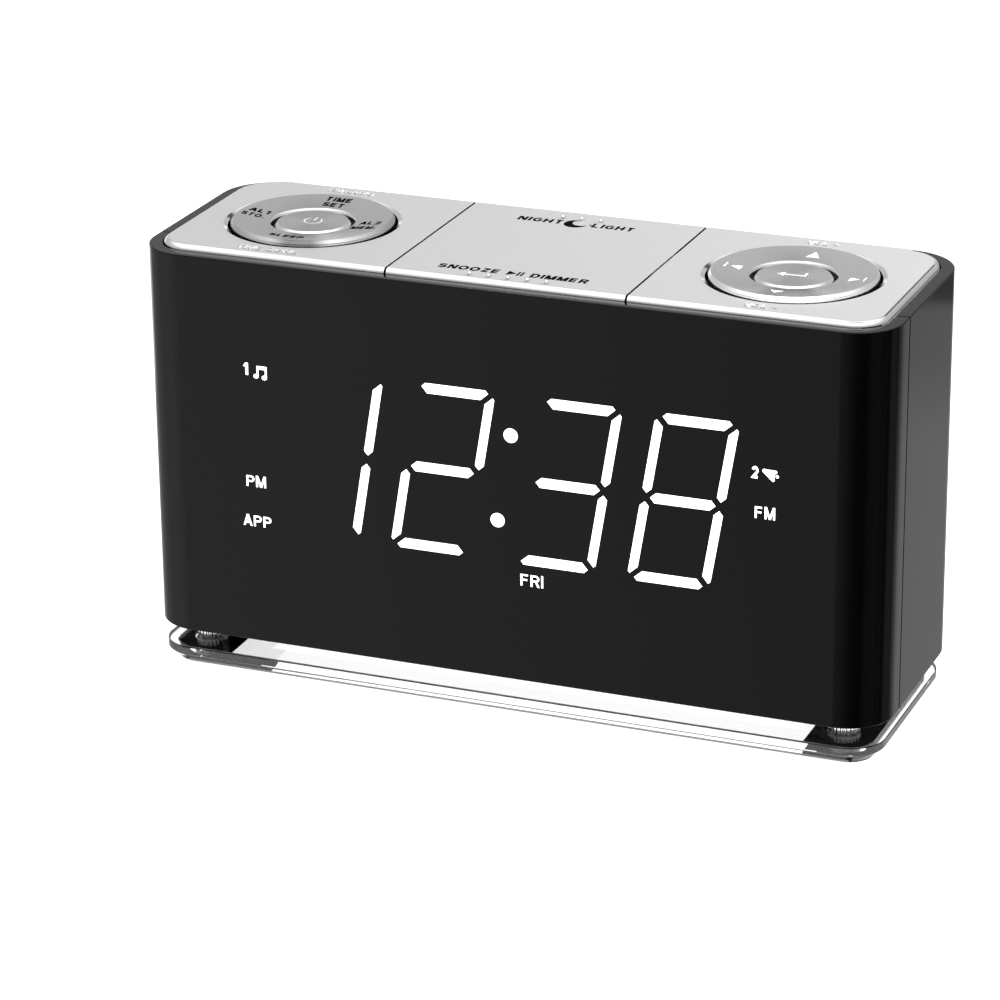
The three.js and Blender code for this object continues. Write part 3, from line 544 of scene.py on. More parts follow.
CABINET_BLACK = gloss_black("cabinet_black", 0.045)
SILVER = silver_paint("silver_paint")
# The left dial's metal is painted darker than the right's, and its fan of painted shade is narrower: shaded and lit
# copies of one spun metal.
SPUN = {
    "left": spun_metal("spun_left", CENTRES["left"], (0.55, 0.55, 0.56), 0.27, 0.12),
    "right": spun_metal("spun_right", CENTRES["right"], (0.62, 0.62, 0.63), 0.27, 0.24),
}
DIAMOND_CUT = bright_metal("diamond_cut", (0.86, 0.86, 0.87), 0.09, 0.8)
# The right ring's rim is given a brighter, glossier metal than the left's spun rim, though both are one finish: a
# painted highlight.
RIMS = {"left": SPUN["left"], "right": bright_metal("rim_painted_highlight", (0.95, 0.95, 0.95), 0.22, 0.8)}
CHROME = bright_metal("chrome", (0.9, 0.9, 0.91), 0.035)
ZINC = bright_metal("zinc_plate", (0.55, 0.55, 0.56), 0.3)
ACRYLIC = clear_acrylic("clear_acrylic")
# The grey tint of the base's top face is painted shade.
ACRYLIC_TOP_SHADE = clear_acrylic("acrylic_top_shade", 0.9)
ACRYLIC_SIDE = clear_acrylic("acrylic_side", clarity=0.94)
# The dark greys of the edge and the step paint lines of shade along the base's edges; the foot's grey is partly a
# sawn edge and partly painted shade where the base meets the floor.
ACRYLIC_EDGE_SHADE = clear_acrylic("acrylic_edge_shade", 0.09, 0.2)
ACRYLIC_FOOT_SAWN_AND_SHADE = clear_acrylic("acrylic_foot_sawn_and_shade", 0.26, 0.4, 0.2)
ACRYLIC_STEP_SHADE = clear_acrylic("acrylic_step_shade", 0.1, 0.4, 0.2)
RUBBER = moulded("black_rubber", (0.003, 0.003, 0.003), 0.8, grain=3.0, depth=0.02, strength=0.4, IOR=1.3)
MATT_BLACK = moulded("matt_black", (0.018, 0.018, 0.019), 0.5, grain=2.5, depth=0.02)
NATURAL = moulded("natural_plastic", (0.62, 0.61, 0.56), 0.55)
WHITE = moulded("white_plastic", (0.82, 0.82, 0.79), 0.45, vary=0.04)
PAPER = moulded("cone_paper", (0.035, 0.034, 0.033), 0.85, grain=4.0, depth=0.05, strength=0.6, vary=0.2)
MAGNET = moulded("ferrite", (0.05, 0.05, 0.055), 0.5, grain=3.0, vary=0.15)
BOARD = circuit_board("circuit_board")
LIT = lamp("lit_white", (1.0, 1.0, 1.0), 1.6)
NIGHT = lamp("night_light", (1.0, 0.99, 0.97), 1.2)
INK = moulded("black_ink", (0.004, 0.004, 0.004), 0.9, grain=6.0, depth=0.003, Specular_IOR_Level=0.0)
# A black that reflects nothing. In the deck it is painted shade in the gaps between covers, on the well walls and
# inside the covers; over the base's pads it is the pads' black.
SHADE_AND_PAD_BLACK = moulded("shade_and_pad_black", (0.004, 0.004, 0.004), 0.9, grain=2.0, Specular_IOR_Level=0.0)
BLACK_OXIDE = moulded("black_oxide", (0.006, 0.006, 0.006), 0.4, grain=2.0, IOR=1.3)
WHITE_INK = moulded("white_ink", (0.72, 0.72, 0.72), 0.45, grain=6.0, depth=0.003, vary=0.03)
# The raised letters are silver paint; this plain pale paint shows them light as if catching highlights: a painted
# highlight.
RAISED_LIT_PAINT = moulded("raised_lit_paint", (0.56, 0.56, 0.56), 0.4, grain=6.0, depth=0.003, vary=0.03)
STUD = bright_metal("bright_stud", (0.93, 0.93, 0.93), 0.16, 1.0)

SLOT_LOOKS = {
    "gloss_black": CABINET_BLACK, "silver_paint": SILVER, "spun_metal": SPUN["right"], "chrome_plate": CHROME,
    "natural_plastic": NATURAL, "circuit_board": BOARD, "matt_black": MATT_BLACK, "lit_white": LIT,
    "clear_acrylic": ACRYLIC, "screw_steel": ZINC, "pad_rubber": RUBBER, "speaker_paper": PAPER,
    "magnet_iron": MAGNET, "white_plastic": WHITE,
}
for row in frame["record"]["subparts"]:
    slots = frame["nodes"][row["node"]].data.materials
    slots.clear()
    slots.append(BLACK_OXIDE if row["node"].startswith("post_screw") else SLOT_LOOKS[row["material_slot"]])

# ---------------------------------------------------------------- cabinet


def cabinet_solid():
    """The whole hollow cabinet, open at the top inside its rim, with the ledge that the tray rests on."""
    inner = WALL + LEDGE_WIDTH
    levels = [
        (SKIN, BODY_BOTTOM), (SKIN, BODY_TOP), (RIM_WIDTH, BODY_TOP), (RIM_WIDTH, BODY_TOP - RIM_DEPTH),
        (WALL, BODY_TOP - RIM_DEPTH), (WALL, LEDGE_TOP), (inner, LEDGE_TOP), (inner, LEDGE_TOP - LEDGE_HEIGHT),
        (WALL, LEDGE_TOP - LEDGE_HEIGHT), (WALL, BODY_BOTTOM + WALL),
    ]
    return loft("cabinet", [[(x, y, z) for x, y in cabinet_outline(inset)] for inset, z in levels])


def with_bosses(shell, y):
    """Adds the bosses over the posts at depth y, and bores them from below."""
    top = BODY_BOTTOM + WALL + 8
    bosses = [rod(side * POST_X, y, BOSS_RADIUS, BODY_BOTTOM + 1, top, 32) for side in (-1, 1)]
    boolean(shell, bosses, "UNION")
    return boolean(shell, [rod(side * POST_X, y, SCREW_BORE, BODY_BOTTOM - 1, top + 1, 24) for side in (-1, 1)])


def on_outside(v):
    """True on the rim, the underside, the seam and the back face."""
    return (
        near(v.z, BODY_TOP) or near(v.z, BODY_BOTTOM)
        or near(v.y, SEAM_Y - GAP / 2) or near(v.y, SEAM_Y + GAP / 2) or near(v.y, HALF_DEPTH - SKIN)
    )


def slot_outline(x0, x1, half_height, z, steps=8):
    points = []
    for centre, start in ((x1, -90), (x0, 90)):
        for step in range(steps + 1):
            angle = math.radians(start + 180 * step / steps)
            points.append((centre + half_height * math.cos(angle), z + half_height * math.sin(angle)))
    return points


def back_prism(outline, y0, y1):
    """A shape drawn in x and z, pushed from y0 back to y1."""
    return loft("back_prism", [[(x, y, z) for x, z in outline] for y in (y1, y0)])


def grille_tools():
    tools = []
    for row in range(-4, 5):
        rise = row * SLOT_PITCH
        reach = math.sqrt(SPEAKER_REACH ** 2 - rise ** 2) - 1
        outline = slot_outline(SPEAKER[0] - reach, SPEAKER[0] + reach, 1, SPEAKER[1] + rise)
        tools.append(back_prism(outline, HALF_DEPTH - WALL - 1, HALF_DEPTH + 1))
    return merged(*tools)


def rear_openings():
    """Everything that is cut from the back and underside of the rear shell."""
    through = (HALF_DEPTH - WALL - 1, HALF_DEPTH + 1)
    x, z = USB_SOCKET
    tools = [back_prism(slot_outline(x - 3.7, x + 3.7, 3.15, z, 10), *through)]
    tools.append(back_rod(*POWER_SOCKET, 4.2, *through))
    tools.append(back_rod(*AERIAL, 2.9, *through))
    tools.append(back_rod(*BATTERY, 13.4, *through, 96))
    tools.append(block(-74, 74, -14, 0, BODY_BOTTOM - 1, BODY_BOTTOM + WALL + 1))
    for x, z in CASE_SCREWS:
        tools.append(back_rod(x, z, 3.3, HALF_DEPTH - 1.6, HALF_DEPTH + 1))
        tools.append(back_rod(x, z, SCREW_BORE, HALF_DEPTH - WALL - 9, HALF_DEPTH - 1, 24))
    return tools


def make_cabinet():
    front = boolean(cabinet_solid(), [block(-FAR, FAR, -FAR, SEAM_Y - GAP / 2, -FAR, FAR)], "INTERSECT")
    rear = boolean(cabinet_solid(), [block(-FAR, FAR, SEAM_Y + GAP / 2, FAR, -FAR, FAR)], "INTERSECT")
    with_bosses(front, POST_Y[0])
    with_bosses(rear, POST_Y[1])
    inner = HALF_DEPTH - WALL
    boolean(rear, [back_rod(x, z, BOSS_RADIUS, inner - 8, inner + 1, 32) for x, z in CASE_SCREWS], "UNION")
    boolean(rear, rear_openings() + [grille_tools()])
    for shell in (front, rear):
        shaded(rounded(shell, on_outside, 0.28))
    recess = 0.8  # depth of the seam's groove, down to the black liner that keeps light from coming through
    outer, inside = HALF_WIDTH - recess, HALF_WIDTH - WALL + 0.05
    thickness = (SEAM_Y - GAP / 2 + 0.01, SEAM_Y + GAP / 2 - 0.01)
    bottom, top = BODY_BOTTOM + recess, BODY_TOP - recess
    seal = merged(
        block(-outer, -inside, *thickness, bottom, top),
        block(inside, outer, *thickness, bottom, top),
        block(-inside, inside, *thickness, bottom, BODY_BOTTOM + WALL - 0.05),
    )
    piece(shaded(seal), "seam_seal", MATT_BLACK, "cabinet", "matt_black")
    piece(front, "cabinet_front", CABINET_BLACK, "cabinet", "gloss_black", "front_shell")
    piece(rear, "cabinet_rear", CABINET_BLACK, "cabinet", "gloss_black", "rear_shell")


# ---------------------------------------------------------------- silver deck


def deck_cover(x0, x1, bottom):
    """A shallow cover over one stretch of the deck: a slab with a skirt."""
    cover = prism(cabinet_outline(PLATE_INSET), bottom, PLATE_TOP)
    boolean(cover, [block(x0, x1, -FAR, FAR, -FAR, FAR)], "INTERSECT")
    hollow = prism(cabinet_outline(PLATE_INSET + PLATE_SKIRT), bottom - 1, SLAB_BOTTOM)
    boolean(hollow, [block(x0 + PLATE_SKIRT, x1 - PLATE_SKIRT, -FAR, FAR, -FAR, FAR)], "INTERSECT")
    return boolean(cover, [hollow])


def on_rim(v):
    """True along the outer top edge of the deck, away from the edges between its covers."""
    if not near(v.z, PLATE_TOP):
        return False
    x, y = HALF_WIDTH - PLATE_INSET, HALF_DEPTH - PLATE_INSET
    return near(abs(v.y), y) or near(abs(v.x), x) or (abs(v.x) > x - 11 and math.hypot(v.x, v.y) > 88.5)


def on_back_edge(v):
    return near(v.y, HALF_DEPTH - PLATE_INSET) and near(v.z, PLATE_TOP)


def on_front_rim(v):
    return on_rim(v) and v.y < HALF_DEPTH - PLATE_INSET - 0.01


def in_deck(centre, normal):
    """True for the inside of a cover and for its sides along the gaps between covers."""
    x, y = HALF_WIDTH - PLATE_INSET, HALF_DEPTH - PLATE_INSET
    along_gap = abs(normal.x) > 0.9 and abs(centre.x) < PLATE_EDGE + 0.1 and centre.z < PLATE_TOP - 0.05
    inside = abs(centre.x) < x - 1 and abs(centre.y) < y - 1 and normal.z < 0.2
    return along_gap or inside


def on_outer_edge(centre, normal):
    """True for the rounded outer edge of the deck."""
    x, y = HALF_WIDTH - PLATE_INSET - 1.5, HALF_DEPTH - PLATE_INSET - 1.5
    at_corner = abs(centre.x) > x - 9 and math.hypot(centre.x, centre.y) > 88
    outside = abs(centre.x) > x or abs(centre.y) > y or at_corner
    cut = outside and normal.y < 0.3 and normal.z < 0.97
    return cut and centre.z > BODY_TOP - 0.5 and not in_deck(centre, normal)


def round_cover(cover, edge):
    """Rounds a cover's rim, and just breaks its back edge and the edges at its gaps, at plus and minus edge."""
    rounded(cover, on_front_rim, 1.35, 6, profile=0.4)
    rounded(cover, on_back_edge, 0.25, 2)
    rounded(cover, lambda v: near(v.z, PLATE_TOP) and near(abs(v.x), edge), 0.07, 1)


def from_axis(side, point):
    """How far a point lies from the axis of a dial."""
    return math.hypot(point.x - CENTRES[side], point.y)


def make_deck():
    for side, sign in (("left", -1), ("right", 1)):
        span = (-FAR, -PLATE_EDGE) if sign < 0 else (PLATE_EDGE, FAR)
        plate = deck_cover(*span, SKIRT_BOTTOM)
        low, high = SKIRT_BOTTOM - 1, PLATE_TOP + LIP_DEPTH
        well = turned("well", [
            (0, low), (WELL_RADIUS, low), (WELL_RADIUS, PLATE_TOP - LIP_DEPTH),
            (WELL_RADIUS + 2 * LIP_WIDTH, high), (0, high),
        ], 128)
        inner, outer = sorted((sign * (PLATE_EDGE - 1), sign * (PLATE_EDGE + PLATE_SKIRT + 1)))
        notch = block(inner, outer, PIVOT_Y - 2, PIVOT_Y + 2, SKIRT_BOTTOM - 1, SLAB_BOTTOM)
        boolean(plate, [moved(well, sign * DIAL_X), notch])
        round_cover(plate, PLATE_EDGE)
        piece(shaded(plate, 24), f"deck_{side}", SILVER, "cabinet", "silver_paint", f"top_plate_{side}")
        # painted shade: the cover's insides, well walls and sides along the gaps get a black that reflects nothing
        finished(plate, SHADE_AND_PAD_BLACK, in_deck)
        finished(plate, DIAMOND_CUT, on_outer_edge)
        finished(plate, DIAMOND_CUT, lambda c, n: (
            c.z > PLATE_TOP - LIP_DEPTH and 0.3 < n.z < 0.95 and near(from_axis(side, c), WELL_RADIUS, 1.5)
        ))

    bar = deck_cover(-BAR_EDGE, BAR_EDGE, SKIRT_BOTTOM + 0.9)
    round_cover(bar, BAR_EDGE)
    width, depth = BAR_EDGE + 0.35, 9.2
    ears = block(-width, width, PIVOT_Y - depth, PIVOT_Y + depth, SLAB_BOTTOM + 0.2, PLATE_TOP - 0.4)
    sideways = Matrix.Rotation(math.radians(90), 4, "Y")
    pins = []
    for sign in (-1, 1):
        pin = rod(0, 0, 1.4, -3.3, 3.3, 24)
        pins.append(moved(pin, sign * (BAR_EDGE + 2.3), PIVOT_Y, SLAB_BOTTOM - 1.7, sideways))
    plungers = [rod(0, y, 2.2, bar_low.z, SLAB_BOTTOM + 0.5, 32) for y in (-22, 20)]
    merged(bar, ears, *pins, *plungers)
    piece(shaded(bar), "snooze_bar_cover", SILVER, "snooze_bar", "silver_paint", "snooze_bar")
    # painted shade: the bar's insides and its sides along the gaps get the same black
    finished(bar, SHADE_AND_PAD_BLACK, in_deck)
    finished(bar, DIAMOND_CUT, on_outer_edge)


def ring_height(radius):
    """The height of the dished face of a dial ring above the deck."""
    inner, outer = RING_INNER + 0.6, RING_OUTER - 0.9
    share = min(1, max(0, (radius - inner) / (outer - inner)))
    return 0.12 + 0.98 * share ** 1.25


def make_dials():
    face = [RING_INNER + 0.6 + (RING_OUTER - RING_INNER - 1.5) * k / 8 for k in range(8, -1, -1)]
    ring_profile = [
        (RING_INNER, -2.9), (12.2, -2.9), (12.2, -1.9), (19.6, -1.5), (19.6, -4.3), (23, -4.3), (23, -3.3),
        (RING_OUTER, -3.3), (RING_OUTER, -0.1), (RING_OUTER, 0.2), (RING_OUTER - 0.06, 0.34),
        (RING_OUTER - 0.72, 1.04),
        *[(radius, ring_height(radius)) for radius in face],
        (RING_INNER + 0.42, 0.02), (RING_INNER + 0.06, -0.45), (RING_INNER, -0.7),
    ]
    button_profile = [
        (0, -7), (2, -7), (2, -1.9), (8.5, -1.9), (8.5, -4.5), (11.7, -4.5), (11.7, -3.6),
        (CENTRE_RADIUS, -3.6), (CENTRE_RADIUS, -0.95), (CENTRE_RADIUS - 0.07, -0.75), (CENTRE_RADIUS - 0.75, -0.02),
        (CENTRE_RADIUS - 1.1, 0.05), (0, 0.05),
    ]
    for side, x in CENTRES.items():
        ring = turned("ring", ring_profile, 160, closed=True)
        legs = [rod(dx * 18, dy * 18, 1.5, -7.15, -1.2, 24) for dx, dy in ((0, -1), (0, 1), (-1, 0), (1, 0))]
        feet = [rod(0, end * 13.4, 1.1, -4.8, -1.5, 24) for end in (-1, 1)]
        moved(merged(ring, *legs, *feet), x, 0, PLATE_TOP)
        shaded(ring, 25)
        piece(ring, f"{side}_ring_face", SPUN[side], f"{side}_ring", "spun_metal", f"{side}_dial_ring")
        finished(ring, DIAMOND_CUT, lambda c, n: 0.2 < n.z < 0.93 and near(from_axis(side, c), RING_INNER, 0.5))
        # painted highlight: only the right ring's rim gets the brighter metal
        finished(ring, RIMS[side], lambda c, n: (
            abs(n.z) < 0.93 and c.z > PLATE_TOP - 2 and from_axis(side, c) > RING_OUTER - 0.8
        ))
        button = moved(turned("button", button_profile, 128), x, 0, PLATE_TOP)
        piece(
            shaded(button, 25), f"{side}_centre_button", SPUN[side], f"{side}_centre", "spun_metal",
            f"{side}_dial_centre",
        )
        finished(button, DIAMOND_CUT, lambda c, n: 0.2 < n.z < 0.97 and c.z > PLATE_TOP - 1)


# ---------------------------------------------------------------- printing, raised legends and lit windows


def arc(cx, cy, radius, start, end, steps=24, squash=1.0):
    """Points along an arc, between angles in degrees; squash scales its height."""
    return [
        (
            cx + radius * math.cos(math.radians(start + (end - start) * k / steps)),
            cy + radius * squash * math.sin(math.radians(start + (end - start) * k / steps)),
        )
        for k in range(steps + 1)
    ]


BOLD = 1.85  # the width of a letter's stroke, where a capital's middle lines are 6 high
LOW, TOP = -BOLD / 2, 6 + BOLD / 2
GLYPHS = {
    " ": [[(0, 0), (1.2, 0)]],
    "A": [[(0, LOW), (2.3, TOP)], [(4.6, LOW), (2.3, TOP)], [(1.0, 1.5), (3.6, 1.5)]],
    "D": [[(0, 3), (0, 6), (1.8, 6), *arc(1.9, 3, 2.5, 80, -80, 12, 1.2), (1.8, 0), (0, 0), (0, 3)]],
    "E": [[(3.9, 6), (0, 6), (0, 0), (3.9, 0)], [(0, 3.1), (3.6, 3.1)]],
    "F": [[(3.8, 6), (0, 6), (0, LOW)], [(0, 3.0), (3.4, 3.0)]],
    "G": [[*arc(2.4, 3, 2.4, 48, 335, 20, 1.25), (4.55, 2.7), (2.7, 2.7)]],
    "H": [[(0, LOW), (0, TOP)], [(4.3, LOW), (4.3, TOP)], [(0, 3.1), (4.3, 3.1)]],
    "I": [[(0, LOW), (0, TOP)]],
    "L": [[(0, TOP), (0, 0), (3.6, 0)]],
    "M": [
        [(0, LOW), (0, TOP)], [(5.2, LOW), (5.2, TOP)], [(0.15, TOP), (2.6, LOW)], [(5.05, TOP), (2.6, LOW)],
    ],
    "N": [[(0, LOW), (0, TOP)], [(4.3, LOW), (4.3, TOP)], [(0.15, TOP), (4.15, LOW)]],
    "O": [[*arc(2.6, 3, 2.6, 0, 360, 32, 1.17)]],
    "P": [[(0, LOW), (0, 6), (2.3, 6), *arc(2.4, 4.35, 1.65, 80, -80, 10), (2.3, 2.7), (0, 2.7)]],
    "R": [
        [(0, LOW), (0, 6), (2.3, 6), *arc(2.4, 4.4, 1.6, 80, -80, 10), (2.3, 2.8), (0, 2.8)],
        [(4.1, LOW), (2.3, 2.9)],
    ],
    "S": [[*arc(2.1, 4.55, 2.0, 20, 250, 16, 0.74), *arc(2.1, 1.5, 2.1, 75, -165, 16, 0.74)]],
    "T": [[(0, 6), (4.4, 6)], [(2.2, LOW), (2.2, 6)]],
    "V": [[(0, TOP), (2.3, LOW)], [(4.6, TOP), (2.3, LOW)]],
    "Z": [[(0.1, 6), (4.3, 6)], [(0, 0), (4.4, 0)], [(0.2, 0.2), (4.2, 5.8)]],
    "1": [[(0, 4.5), (1.5, TOP - 0.2)], [(1.5, LOW), (1.5, TOP)]],
    "2": [[*arc(2.0, 4.2, 2.0, 165, -38, 18, 0.9), (0.3, 0.1), (4.2, 0)]],
    "+": [[(0, 3), (4.2, 3)], [(2.1, 0.9), (2.1, 5.1)]],
    "-": [[(0, 3), (3.6, 3)]],
    ".": [[(0, 0), (1.5, 0)]],
}


def sloping(points):
    """True for a straight stroke that leans, whose ends are cut level."""
    (u0, v0), (u1, v1) = points[0], points[-1]
    return len(points) == 2 and u0 != u1 and v0 != v1


def stroke_outline(points, width):
    """The outline of a stroke of even width along a flat path, with mitred corners."""
    if sloping(points):
        (u0, v0), (u1, v1) = points
        half = width / 2 * math.hypot(u1 - u0, v1 - v0) / abs(v1 - v0)
        return [[(u0 - half, v0), (u0 + half, v0), (u1 + half, v1), (u1 - half, v1)]]
    path = [Vector(p) for p in points]
    closed = (path[0] - path[-1]).length < 1e-6
    if closed:
        path.pop()
    left, right = [], []
    for i, point in enumerate(path):
        normals = []
        for start, end in ((i - 1, i), (i, i + 1)):
            if closed or (start >= 0 and end < len(path)):
                along = path[end % len(path)] - path[start]
                normals.append(Vector((-along.y, along.x)).normalized())
        normal = sum(normals, Vector((0, 0))).normalized()
        offset = normal * width / 2 / max(0.4, normal.dot(normals[0]))
        left.append(tuple(point + offset))
        right.append(tuple(point - offset))
    return [left, right] if closed else [left + list(reversed(right))]


def flat_solid(outline, hole=None):
    """A slab one unit thick from a flat outline, which may have one hole of as many points."""
    if hole is None:
        return prism(outline, 0, 1)
    loops = [[(u, v, w) for u, v in ring] for ring, w in ((outline, 0), (outline, 1), (hole, 1), (hole, 0))]
    return loft("ring", loops, wrap=True)


def joined(solids):
    """One solid from overlapping slabs."""
    first, *others = solids
    return boolean(first, others, "UNION") if others else first


def fitted(solid, width, height):
    """Scales a flat solid to a width and height, with its middle at the origin."""
    low = [min(v.co[k] for v in solid.data.vertices) / MM for k in (0, 1)]
    high = [max(v.co[k] for v in solid.data.vertices) / MM for k in (0, 1)]
    scale = (width / (high[0] - low[0]), height / (high[1] - low[1]))
    for vertex in solid.data.vertices:
        for k in (0, 1):
            vertex.co[k] = (vertex.co[k] / MM - (low[k] + high[k]) / 2) * scale[k] * MM
    return solid


def lettering(text, width, height, bold=BOLD):
    """Bold plain capitals, fitted to a width and height."""
    solids, start = [], 0.0
    for letter in text:
        strokes = GLYPHS[letter]
        if letter != " ":
            for points in strokes:
                moved_points = [(u + start, v) for u, v in points]
                solids.append(flat_solid(*stroke_outline(moved_points, bold)))
        start += max(u for points in strokes for u, v in points) + bold + 1.0
    return fitted(joined(solids), width, height)


def shapes(*outlines):
    """Flat slabs joined into one."""
    return joined([flat_solid(outline) for outline in outlines])


def mark(name, solid, place, material, body, slot):
    """Makes a thin piece of a flat solid: place maps its (u, v, w) to a point, all in millimetres."""
    for vertex in solid.data.vertices:
        vertex.co = Vector(place(*(vertex.co / MM))) * MM
    face_outwards(solid.data)
    return piece(solid, name, material, body, slot)


INK_RISE, INK_SINK = 0.02, 0.06  # how far flat printing stands out of its surface, and goes into it


def on_deck(x, y, rise=INK_RISE):
    """Places a shape flat on the silver deck."""
    return lambda u, v, w: (x + u, y + v, PLATE_TOP - INK_SINK + w * (rise + INK_SINK))


def on_ring(side, x, y):
    """Places a shape on the dished face of a ring; x and y are from the dial's middle."""
    centre, rise, sink = CENTRES[side], 0.03, 0.08

    def place(u, v, w):
        height = ring_height(math.hypot(x + u, y + v))
        return centre + x + u, y + v, PLATE_TOP + height - sink + w * (rise + sink)

    return place


def on_button(side):
    """Places a shape in the middle of a centre button."""
    return lambda u, v, w: (CENTRES[side] + u, v, PLATE_TOP + 0.05 - INK_SINK + w * (INK_RISE + INK_SINK))


def on_front(x, z):
    """Places a shape on the front of the cabinet, just proud of it."""
    return lambda u, v, w: (x + u, -HALF_DEPTH + SKIN * 10 * (1 - w), z + v)


def crescent(radius):
    """A crescent moon, open to the upper right."""
    bite, shift, turn = radius * 0.74, radius * 0.52, 42
    outer = math.degrees(math.acos((radius ** 2 + shift ** 2 - bite ** 2) / (2 * radius * shift)))
    inner = math.degrees(math.acos((radius ** 2 - shift ** 2 - bite ** 2) / (2 * bite * shift)))
    hollow = (shift * math.cos(math.radians(turn)), shift * math.sin(math.radians(turn)))
    edge = arc(0, 0, radius, turn + outer, turn + 360 - outer, 40)
    return shapes(edge + arc(*hollow, bite, turn + 360 - inner, turn + inner, 28)[1:-1])


def make_legends():
    height = 3.1
    play = shapes(
        [(-1.7, -1.6), (0.75, 0), (-1.7, 1.6)],
        [(0.95, -1.5), (1.5, -1.5), (1.5, 1.5), (0.95, 1.5)],
        [(1.95, -1.5), (2.5, -1.5), (2.5, 1.5), (1.95, 1.5)],
    )
    bar_legends = [
        ("legend_night", lettering("NIGHT", 12.0, height), -10.3, 21.1),
        ("legend_light", lettering("LIGHT", 11.2, height), 9.6, 21.1),
        ("legend_moon", crescent(3.1), -0.5, 20.9),
        ("legend_star", shapes(arc(0, 0, 0.36, 0, 330, 11)), 3.5, 21.1),
        ("legend_snooze", lettering("SNOOZE", 16.0, height), -12.3, -22.8),
        ("legend_dimmer", lettering("DIMMER", 15.2, height), 11.9, -22.8),
        ("legend_play", play, -0.2, -22.8),
    ]
    for name, solid, x, y in bar_legends:
        mark(name, solid, on_deck(x, y), INK, "snooze_bar", "matt_black")

    ring_legends = [
        ("legend_time", "TIME", 6.9, -0.2, 17.2),
        ("legend_set", "SET", 5.8, -0.4, 13.7),
        ("legend_alarm_one", "AL1", 5.8, -15.8, 1.8),
        ("legend_store", "STO.", 6.4, -16.1, -1.8),
        ("legend_alarm_two", "AL2", 5.8, 15.4, 1.9),
        ("legend_recall", "MEM.", 7.0, 15.3, -2.3),
        ("legend_sleep", "SLEEP", 9.4, -0.3, -15.6),
    ]
    for name, text, width, x, y in ring_legends:
        mark(name, lettering(text, width, 2.5), on_ring("left", x, y), INK, "left_ring", "matt_black")

    power = joined([
        flat_solid(*stroke_outline(arc(0, 0, 2.3, 125, 415, 40), 0.26)),
        flat_solid([(-0.14, 0.4), (0.14, 0.4), (0.14, 3.1), (-0.14, 3.1)]),
    ])
    mark("legend_power", power, on_button("left"), WHITE_INK, "left_centre", "white_plastic")

    def post(u):
        return [(u, -1.6), (u + 0.32, -1.6), (u + 0.32, 1.6), (u, 1.6)]

    ring_icons = [
        ("icon_up", [[(-1.75, -1.6), (1.75, -1.6), (0, 1.9)]], 0.3, 15.4),
        ("icon_down", [[(-1.8, 1.2), (0, -1.4), (1.8, 1.2)]], 0.3, -15.4),
        ("icon_previous", [post(-2.5), [(-1.0, 0), (1.7, -1.5), (1.7, 1.5)]], -15.4, 0),
        ("icon_next", [post(2.1), [(-1.7, -1.5), (1.0, 0), (-1.7, 1.5)]], 15.9, 0),
    ]
    for name, outlines, x, y in ring_icons:
        mark(name, shapes(*outlines), on_ring("right", x, y), WHITE_INK, "right_ring", "white_plastic")
    enter = shapes(
        [(-4.2, -0.3), (-2.4, -1.6), (-2.4, 1.0)],
        [(-2.6, -0.55), (3.1, -0.55), (3.1, -0.05), (-2.6, -0.05)],
        [(2.6, -0.3), (3.1, -0.3), (3.1, 2.1), (2.6, 2.1)],
    )
    mark("icon_enter", enter, on_button("right"), WHITE_INK, "right_centre", "white_plastic")

    raised = [
        ("raised_fm_radio", "FM RADIO", 12.4, -65.6, 26.4),
        ("raised_time_zone", "TIME ZONE", 16.6, -65.6, -26.4),
        ("raised_volume_up", "VOL +", 8.2, 64.3, 26.3),
        ("raised_volume_down", "VOL -", 8.4, 65.2, -26.3),
    ]
    # painted highlight: the raised letters get the pale paint in place of the deck's silver
    for name, text, width, x, y in raised:
        mark(name, lettering(text, width, 2.2, 0.75), on_deck(x, y, 0.28), RAISED_LIT_PAINT, "cabinet", "silver_paint")

    bumps = [(-9.95 + 5.1 * k, -27.9) for k in range(5)] + [(-5.1 + 5.2 * k, 24.0) for k in range(3)]
    dome = [(0, 1.05), (0.28, 1.0), (0.5, 0.85), (0.64, 0.6), (0.7, 0.3), (0.7, -0.15), (0, -0.15)]
    for index, (x, y) in enumerate(bumps):
        bump = moved(turned("bump", dome, 24), x, y, PLATE_TOP)
        piece(shaded(bump, 60), f"tactile_bump_{index + 1}", STUD, "snooze_bar", "silver_paint")


SLANT = 0.169
SPAN, RISE = 9.65, 21.2
LEVEL, UPRIGHT = 2.68, 2.35  # widths of the level and upright bars
PART = 1.15  # distance from a corner to a bar's tip, along the figure's axes
FIGURES = {
    "hour_tens": (-45.7, "bc"), "hour_units": (-15.5, "abged"),
    "minute_tens": (18.1, "abgcd"), "minute_units": (48.3, "abcdefg"),
}


